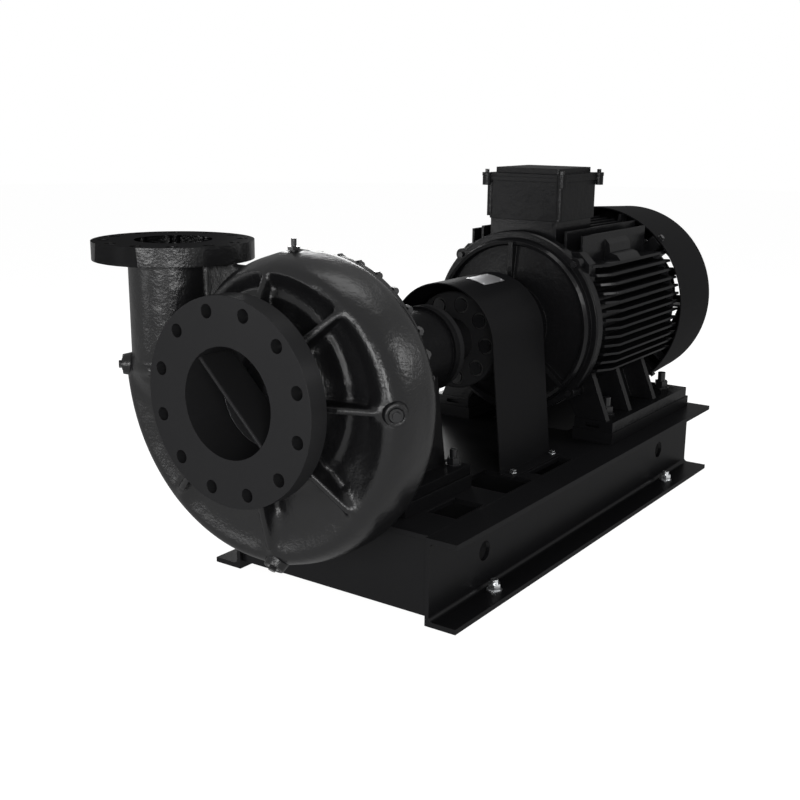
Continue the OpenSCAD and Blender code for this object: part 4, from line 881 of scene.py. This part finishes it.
@dataclass
class VoluteCasing:
    """Volute casing: a softened cast body between crisp machined flanges.

    Attributes:
        flange_back: Y of the suction flange's back.
        bore_r: Radius that the machined bore's surfaces stay inside.
        bore_end: Y where the machined bore ends.
        pipe: X and Y of the discharge pipe.
        pipe_flange_z: Z of the discharge flange's lower side.
        pipe_flange_r: Radius that holds the discharge flange.
        voxel: Size of the cubes that the body is rebuilt from.
        rounds: Number of smoothing steps.
        shoulder_y: Lowest and highest Y of the volute's front shoulder.
        shoulder_rounds: Number of further smoothing steps for the shoulder.
        dish_r: Radius of the dished front inside the shoulder.
        beside_pipe: X under which the shoulder meets the discharge pipe.
        under_pipe: Z over which it does.
        cut: How far the cuts of the cast body stay off the flanges.
        upright: Least Z of a face's normal that makes it a gasket face.
    """

    shop: PaintShop
    flange_back: float = 0.0411
    bore_r: float = 0.1085
    bore_end: float = 0.14
    pipe: tuple[float, float] = (-0.31, 0.186)
    pipe_flange_z: float = 0.2134
    pipe_flange_r: float = 0.163
    voxel: float = 0.004
    rounds: int = 5
    shoulder_y: tuple[float, float] = (0.1, 0.2)
    shoulder_rounds: int = 70
    dish_r: float = 0.225
    beside_pipe: float = -0.1
    under_pipe: float = 0.02
    cut: float = 0.0002
    upright: float = 0.9

    def build(self) -> None:
        """Builds the cast body and the machined parts."""
        body = softened(node_mesh("volute_casing"), self.voxel, self.rounds)
        self._round_shoulder(body)
        self._cut_body(body)
        for face in body.faces:
            face.smooth = True
        finish_piece(
            "casing_cast_body", body, self.shop.material(Finishes.CASTING), "base",
            ["volute_casing"],
        )
        for name, finish, keep in (
            ("casing_machined_faces", Finishes.FLANGE_FACE, self._is_machined),
            ("discharge_flange_rim", Finishes.CASTING, self._is_discharge_rim),
            ("discharge_gasket_face", Finishes.GASKET_FACE, self._is_discharge_face),
        ):
            crisp = node_mesh("volute_casing")
            keep_faces(crisp, keep)
            shade(crisp)
            finish_piece(name, crisp, self.shop.material(finish), "base")

    def _round_shoulder(self, bm: bmesh.types.BMesh) -> None:
        """Rounds the volute's front shoulder more than the rest of the body.

        Args:
            bm: The softened body.
        """
        lowest, highest = self.shoulder_y
        verts = [
            vert for vert in bm.verts
            if lowest < vert.co.y < highest and self._on_shoulder(vert.co)
        ]
        for _ in range(self.shoulder_rounds):
            bmesh.ops.smooth_vert(
                bm, verts=verts, factor=0.5, use_axis_x=True, use_axis_y=True, use_axis_z=True,
            )

    def _on_shoulder(self, point: Vector) -> bool:
        """Tells whether a point lies on the volute outside its dished front.

        Args:
            point: The point.

        Returns:
            True for a point of the shoulder.
        """
        at_pipe = point.x < self.beside_pipe and point.z > self.under_pipe
        return math.hypot(point.x, point.z) > self.dish_r and not at_pipe

    def _from_pipe(self, point: Vector) -> float:
        """Measures how far a point is from the discharge pipe's axis.

        Args:
            point: The point.

        Returns:
            The distance.
        """
        return math.hypot(point.x - self.pipe[0], point.y - self.pipe[1])

    def _cut_body(self, bm: bmesh.types.BMesh) -> None:
        """Cuts the flanges and the machined bore off the softened body.

        Args:
            bm: The softened body.
        """
        bmesh.ops.bisect_plane(
            bm, geom=bm.verts[:] + bm.edges[:] + bm.faces[:],
            plane_co=(0.0, self.flange_back + self.cut, 0.0), plane_no=(0.0, -1.0, 0.0),
            clear_outer=True,
        )
        bmesh.ops.bisect_plane(
            bm, geom=bm.verts[:] + bm.edges[:] + bm.faces[:],
            plane_co=(0.0, 0.0, self.pipe_flange_z - self.cut), plane_no=(0.0, 0.0, 1.0),
        )
        keep_faces(bm, self._is_cast)

    def _is_cast(self, face: bmesh.types.BMFace) -> bool:
        """Tells whether a face of the softened body stays.

        Args:
            face: The face.

        Returns:
            True outside the flanges and the machined bore.
        """
        middle = face.calc_center_median()
        wide_bore = self.bore_r + 0.003
        in_bore = math.hypot(middle.x, middle.z) < wide_bore and middle.y < self.bore_end
        near_pipe = self._from_pipe(middle) < self.pipe_flange_r
        in_flange = near_pipe and middle.z > self.pipe_flange_z - self.cut - TOUCH
        return not (in_bore or in_flange)

    def _is_machined(self, face: bmesh.types.BMFace) -> bool:
        """Tells whether a face of the CAD casing is a machined one.

        Args:
            face: The face.

        Returns:
            True for the suction flange, the suction bore and its splitter vane.
        """
        corners = [vert.co for vert in face.verts]
        flange = all(co.y < self.flange_back + TOUCH for co in corners)
        bore = all(math.hypot(co.x, co.z) < self.bore_r and co.y < self.bore_end for co in corners)
        return flange or bore

    def _is_discharge_flange(self, face: bmesh.types.BMFace) -> bool:
        """Tells whether a face of the CAD casing is on the discharge flange.

        Args:
            face: The face.

        Returns:
            True for the flange's faces.
        """
        low = self.pipe_flange_z - TOUCH
        return all(
            vert.co.z > low and self._from_pipe(vert.co) < self.pipe_flange_r
            for vert in face.verts
        )

    def _is_discharge_face(self, face: bmesh.types.BMFace) -> bool:
        """Tells whether a face lies on top of the discharge flange.

        Args:
            face: The face.

        Returns:
            True for its gasket face.
        """
        return self._is_discharge_flange(face) and face.normal.z > self.upright

    def _is_discharge_rim(self, face: bmesh.types.BMFace) -> bool:
        """Tells whether a face is on the rim or in a hole of the discharge flange.

        Args:
            face: The face.

        Returns:
            True for its faces other than the gasket face.
        """
        return self._is_discharge_flange(face) and face.normal.z <= self.upright


@dataclass
class PlugSeat:
    """Seat round a gauge or drain plug on the volute's shoulder.

    Attributes:
        angle: Angle of the plug round the shaft, in degrees from +X towards +Z.
        reach: Radius of the volute there.
        shoulder: Radius of the volute's front shoulder.
        front: Y of the volute's front.
        seat: Height of the plug's collar over the shoulder's centre.
        radius: Radius of the seat.
        draft: How much wider the seat is at its foot.
        recess_r: Radius of the recess.
        lip: Height of the rim round the recess.
        foot: Depth of the seat below the recess.
        rounding: Radius of the rim's edges.
        segments: Number of sides of the seat.
    """

    shop: PaintShop
    angle: float
    reach: float
    shoulder: float = 0.058
    front: float = 0.106
    seat: float = 0.068
    radius: float = 0.02
    draft: float = 0.004
    recess_r: float = 0.0132
    lip: float = 0.0032
    foot: float = 0.016
    rounding: float = 0.0011
    segments: int = 40

    def build(self, name: str) -> None:
        """Builds the seat as a short boss with a round recess for the plug's collar.

        Args:
            name: Name of the piece.
        """
        bm = bmesh.new()
        top = self.seat + self.lip
        depth = self.lip + self.foot
        bmesh.ops.create_cone(
            bm, cap_ends=True, segments=self.segments, radius1=self.radius + self.draft,
            radius2=self.radius, depth=depth,
            matrix=Matrix.Translation((0.0, 0.0, top - depth / 2)),
        )
        cap = [face for face in bm.faces if face.normal.z > 0.9]
        bmesh.ops.inset_region(bm, faces=cap, thickness=self.radius - self.recess_r, depth=0.0)
        sunk = bmesh.ops.extrude_face_region(bm, geom=cap)
        moved = [item for item in sunk["geom"] if isinstance(item, bmesh.types.BMVert)]
        bmesh.ops.translate(bm, verts=moved, vec=(0.0, 0.0, -self.lip))
        bmesh.ops.delete(bm, geom=cap, context="FACES_ONLY")
        rims = [
            edge for edge in bm.edges
            if all(vert.co.z > top - 1e-5 for vert in edge.verts)
            and edge.calc_face_angle(0.0) > 0.6
        ]
        bmesh.ops.bevel(
            bm, geom=rims, offset=self.rounding, offset_type="OFFSET", segments=3,
            profile=0.5, affect="EDGES", material=-1, clamp_overlap=True,
        )
        bmesh.ops.transform(bm, matrix=self._frame(), verts=bm.verts)
        bmesh.ops.recalc_face_normals(bm, faces=bm.faces)
        shade(bm)
        finish_piece(name, bm, self.shop.material(Finishes.CASTING), "base")

    def _frame(self) -> Matrix:
        """Works out the seat's place, its Z along the plug's axis.

        Returns:
            The place as a matrix.
        """
        turn = math.radians(self.angle)
        outward = Vector((math.cos(turn), 0.0, math.sin(turn)))
        middle = outward * (self.reach - self.shoulder) + AXIS_Y * (self.front + self.shoulder)
        axis = (outward - AXIS_Y).normalized()
        return Matrix.Translation(middle) @ axis.to_track_quat("Z", "X").to_matrix().to_4x4()


# Angle round the shaft and radius of the volute for each seat.
PLUG_SEATS = {
    "right_plug_seat": (0.0, 0.29),
    "drain_plug_seat": (-90.0, 0.352),
    "left_plug_seat": (-180.0, 0.4002),
}


@dataclass
class MotorBarrel:
    """Finned motor frame whose side fins follow the circle of the fan cowl.

    Attributes:
        tip_r: Radius of the circle that the fins' tips lie on.
        fin_reach: Distance of the CAD fins' tips from the shaft axis.
        lowest: Z under the lowest side fin.
        highest: Z over the highest side fin and the foot of its lifting boss.
        front: Y of the CAD fins' front ends.
        front_cut: How far the tips stand back there.
        fin_end: Y where the CAD fins end.
        in_cowl: Y that the fins' tips reach, just inside the cowl.
    """

    shop: PaintShop
    tip_r: float = 0.2485
    fin_reach: float = 0.243
    lowest: float = -0.112
    highest: float = 0.153
    front: float = 1.058
    front_cut: float = 0.02
    fin_end: float = 1.434
    in_cowl: float = 1.458

    def build(self) -> None:
        """Builds the frame with its fins cut to the cowl's circle."""
        bm = node_mesh("motor_frame")
        for vert in bm.verts:
            if self.lowest < vert.co.z < self.highest:
                self._fit_tip(vert.co)
        shade(bm)
        finish_piece(
            "finned_motor_frame", bm, self.shop.material(Finishes.MOTOR_CASTING), "base",
            ["motor_frame"],
        )

    def _fit_tip(self, place: Vector) -> None:
        """Moves one corner of a fin onto the circle, and on to the cowl at the rear.

        Args:
            place: The corner, which is changed.
        """
        reach = min(self.fin_reach, math.sqrt(self.tip_r**2 - place.z**2))
        away = abs(place.x)
        at_front = abs(place.y - self.front) < TOUCH
        if at_front and away > self.fin_reach - self.front_cut - 0.0005:
            place.x = math.copysign(reach - self.front_cut, place.x)
        elif away > reach:
            place.x = math.copysign(reach, place.x)
        if away > reach - 0.001 and abs(place.y - self.fin_end) < TOUCH:
            place.y = self.in_cowl


@dataclass
class CoolingFan:
    """Cooling fan whose disc and blades nearly fill the cowl.

    Attributes:
        hub_r: Radius of the hub, which keeps its size.
        cad_r: Radius of the CAD fan.
        full_r: Radius of the fan in the cowl.
    """

    shop: PaintShop
    hub_r: float = 0.06
    cad_r: float = 0.178
    full_r: float = 0.238

    def build(self) -> None:
        """Builds the fan with its rim drawn out towards the cowl."""
        bm = node_mesh("cooling_fan")
        stretch = (self.full_r - self.hub_r) / (self.cad_r - self.hub_r)
        for vert in bm.verts:
            reach = math.hypot(vert.co.x, vert.co.z)
            if reach > self.hub_r:
                grown = (self.hub_r + (reach - self.hub_r) * stretch) / reach
                vert.co.x *= grown
                vert.co.z *= grown
        shade(bm)
        finish_piece(
            "cowl_filling_fan", bm, self.shop.material(Finishes.FAN_PLASTIC), "motor_rotor",
            ["cooling_fan"],
        )


@dataclass
class GuardPlate:
    """Bare plate with four rivets on the arch of the coupling guard.

    Attributes:
        arch_r: Outer radius of the guard's arch.
        low: Angle of the plate's lower edge, in degrees from +X towards +Z.
        high: Angle of its upper edge.
        start: Y of its front edge.
        end: Y of its rear edge.
        thickness: Thickness of the sheet.
        lift: Height of the sheet's outer face over the arch.
        inset: Distance of the rivets from the plate's edges.
        rivet_r: Radius of a rivet's head.
        rivet_flat: Height of the head as a share of its radius.
    """

    shop: PaintShop
    arch_r: float = 0.135
    low: float = 67.0
    high: float = 88.0
    start: float = 0.776
    end: float = 0.866
    thickness: float = 0.0008
    lift: float = 0.0011
    inset: float = 0.006
    rivet_r: float = 0.0022
    rivet_flat: float = 0.55

    def build(self) -> None:
        """Builds the plate and its rivets."""
        bm = bmesh.new()
        edge = [bm.verts.new(self._on_arch(self.low, y)) for y in (self.start, self.end)]
        bm.edges.new(edge)
        bmesh.ops.spin(
            bm, geom=bm.verts[:] + bm.edges[:], cent=(0.0, 0.0, 0.0), axis=(0.0, -1.0, 0.0),
            dvec=(0.0, 0.0, 0.0), angle=math.radians(self.high - self.low), steps=12,
            use_merge=False, use_duplicate=False,
        )
        bmesh.ops.recalc_face_normals(bm, faces=bm.faces)
        if sum(face.normal.z for face in bm.faces) < 0.0:
            bmesh.ops.reverse_faces(bm, faces=bm.faces)
        bmesh.ops.solidify(bm, geom=bm.faces[:], thickness=self.thickness)
        turn = math.degrees(self.inset / self.arch_r)
        flat = Matrix.Diagonal((1.0, 1.0, self.rivet_flat, 1.0))
        for angle in (self.low + turn, self.high - turn):
            for y in (self.start + self.inset, self.end - self.inset):
                spot = Matrix.Translation(self._on_arch(angle, y)) @ flat
                bmesh.ops.create_uvsphere(
                    bm, u_segments=14, v_segments=8, radius=self.rivet_r, matrix=spot,
                )
        shade(bm)
        finish_piece(
            "guard_bare_plate", bm, self.shop.material(Finishes.BARE_PLATE), "base",
        )

    def _on_arch(self, angle: float, y: float) -> Vector:
        """Finds a point on the arch.

        Args:
            angle: Angle round the shaft, in degrees from +X towards +Z.
            y: Distance along the shaft.

        Returns:
            The point.
        """
        turn = math.radians(angle)
        reach = self.arch_r + self.lift
        return Vector((reach * math.cos(turn), y, reach * math.sin(turn)))


@dataclass
class PumpSet:
    """The pump set's CAD nodes, each with its finish."""

    shop: PaintShop

    def dress_nodes(self) -> None:
        """Gives every CAD node its finish."""
        dress = self.shop.dress
        dress(
            Finishes.ROLLED_STEEL, "side_channels", "cross_members", "deck_plate",
            "pump_pads", "motor_pads",
        )
        dress(Finishes.PRESSED_SHEET, "coupling_guard")
        dress(Finishes.COWL_SHEET, "fan_cowl")
        dress(Finishes.CASTING, "volute_casing", "back_cover")
        dress(Finishes.FRAME_CASTING, "bearing_frame")
        dress(
            Finishes.FLANGE_FACE, "front_bearing_cover", "rear_bearing_cover",
            "pump_coupling_half", "motor_coupling_half",
        )
        dress(
            Finishes.MOTOR_CASTING, "motor_frame", "drive_end_shield", "fan_end_shield",
            "motor_bearing_caps",
        )
        dress(Finishes.BOX_CASTING, "terminal_box", "terminal_lid")
        dress(
            Finishes.PAINTED_BOLTS, "cover_studs", "casing_plugs", "air_vent",
            "frame_bolts", "bearing_cover_bolts", "oil_plugs", "pump_foot_bolts",
            "shield_bolts", "cowl_screws", "lid_screws", "motor_foot_bolts",
            "coupling_pin_set",
        )
        dress(Finishes.ZINC, "foundation_bolts", "guard_screws", "gland_bolts")
        dress(Finishes.BARE_IRON, "impeller", "casing_wear_ring", "gland_plate")
        dress(
            Finishes.TURNED_STEEL, "impeller_nut", "impeller_key", "pump_shaft",
            "shaft_sleeve", "seal_head", "bearing_locknut", "motor_shaft",
        )
        dress(
            Finishes.BEARING_STEEL, "pump_outer_races", "pump_inner_races",
            "pump_ball_sets", "motor_outer_races", "motor_inner_races", "motor_ball_sets",
        )
        dress(Finishes.LAMINATION, "stator_core", "rotor_core")
        dress(Finishes.WINDING, "stator_windings")
        dress(Finishes.BLACK_RUBBER, "coupling_bushes")
        dress(Finishes.CARBON, "seal_seat")
        dress(Finishes.FIBRE_SHEET, "casing_gasket")
        dress(Finishes.FAN_PLASTIC, "cooling_fan")
        dress(Finishes.BROWN_BOARD, "terminal_board")


def corners(box: tuple[Vector, Vector]) -> list[list[float]]:
    """Turns a box into plain lists of numbers.

    Args:
        box: Lowest and highest corner.

    Returns:
        Both corners as lists.
    """
    return [[round(value, 5) for value in corner] for corner in box]


def main() -> None:
    """Builds the looks of the pump set."""
    logging.basicConfig(level=logging.INFO, format="%(name)s %(message)s")
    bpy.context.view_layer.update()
    bpy.context.scene.view_settings.view_transform = "Standard"
    shop = PaintShop()
    Studio().build()
    PumpSet(shop).dress_nodes()
    VoluteCasing(shop).build()
    for name, (angle, reach) in PLUG_SEATS.items():
        PlugSeat(shop, angle, reach).build(name)
    MotorBarrel(shop).build()
    CoolingFan(shop).build()
    GuardPlate(shop).build()


if __name__ == "__main__":
    main()
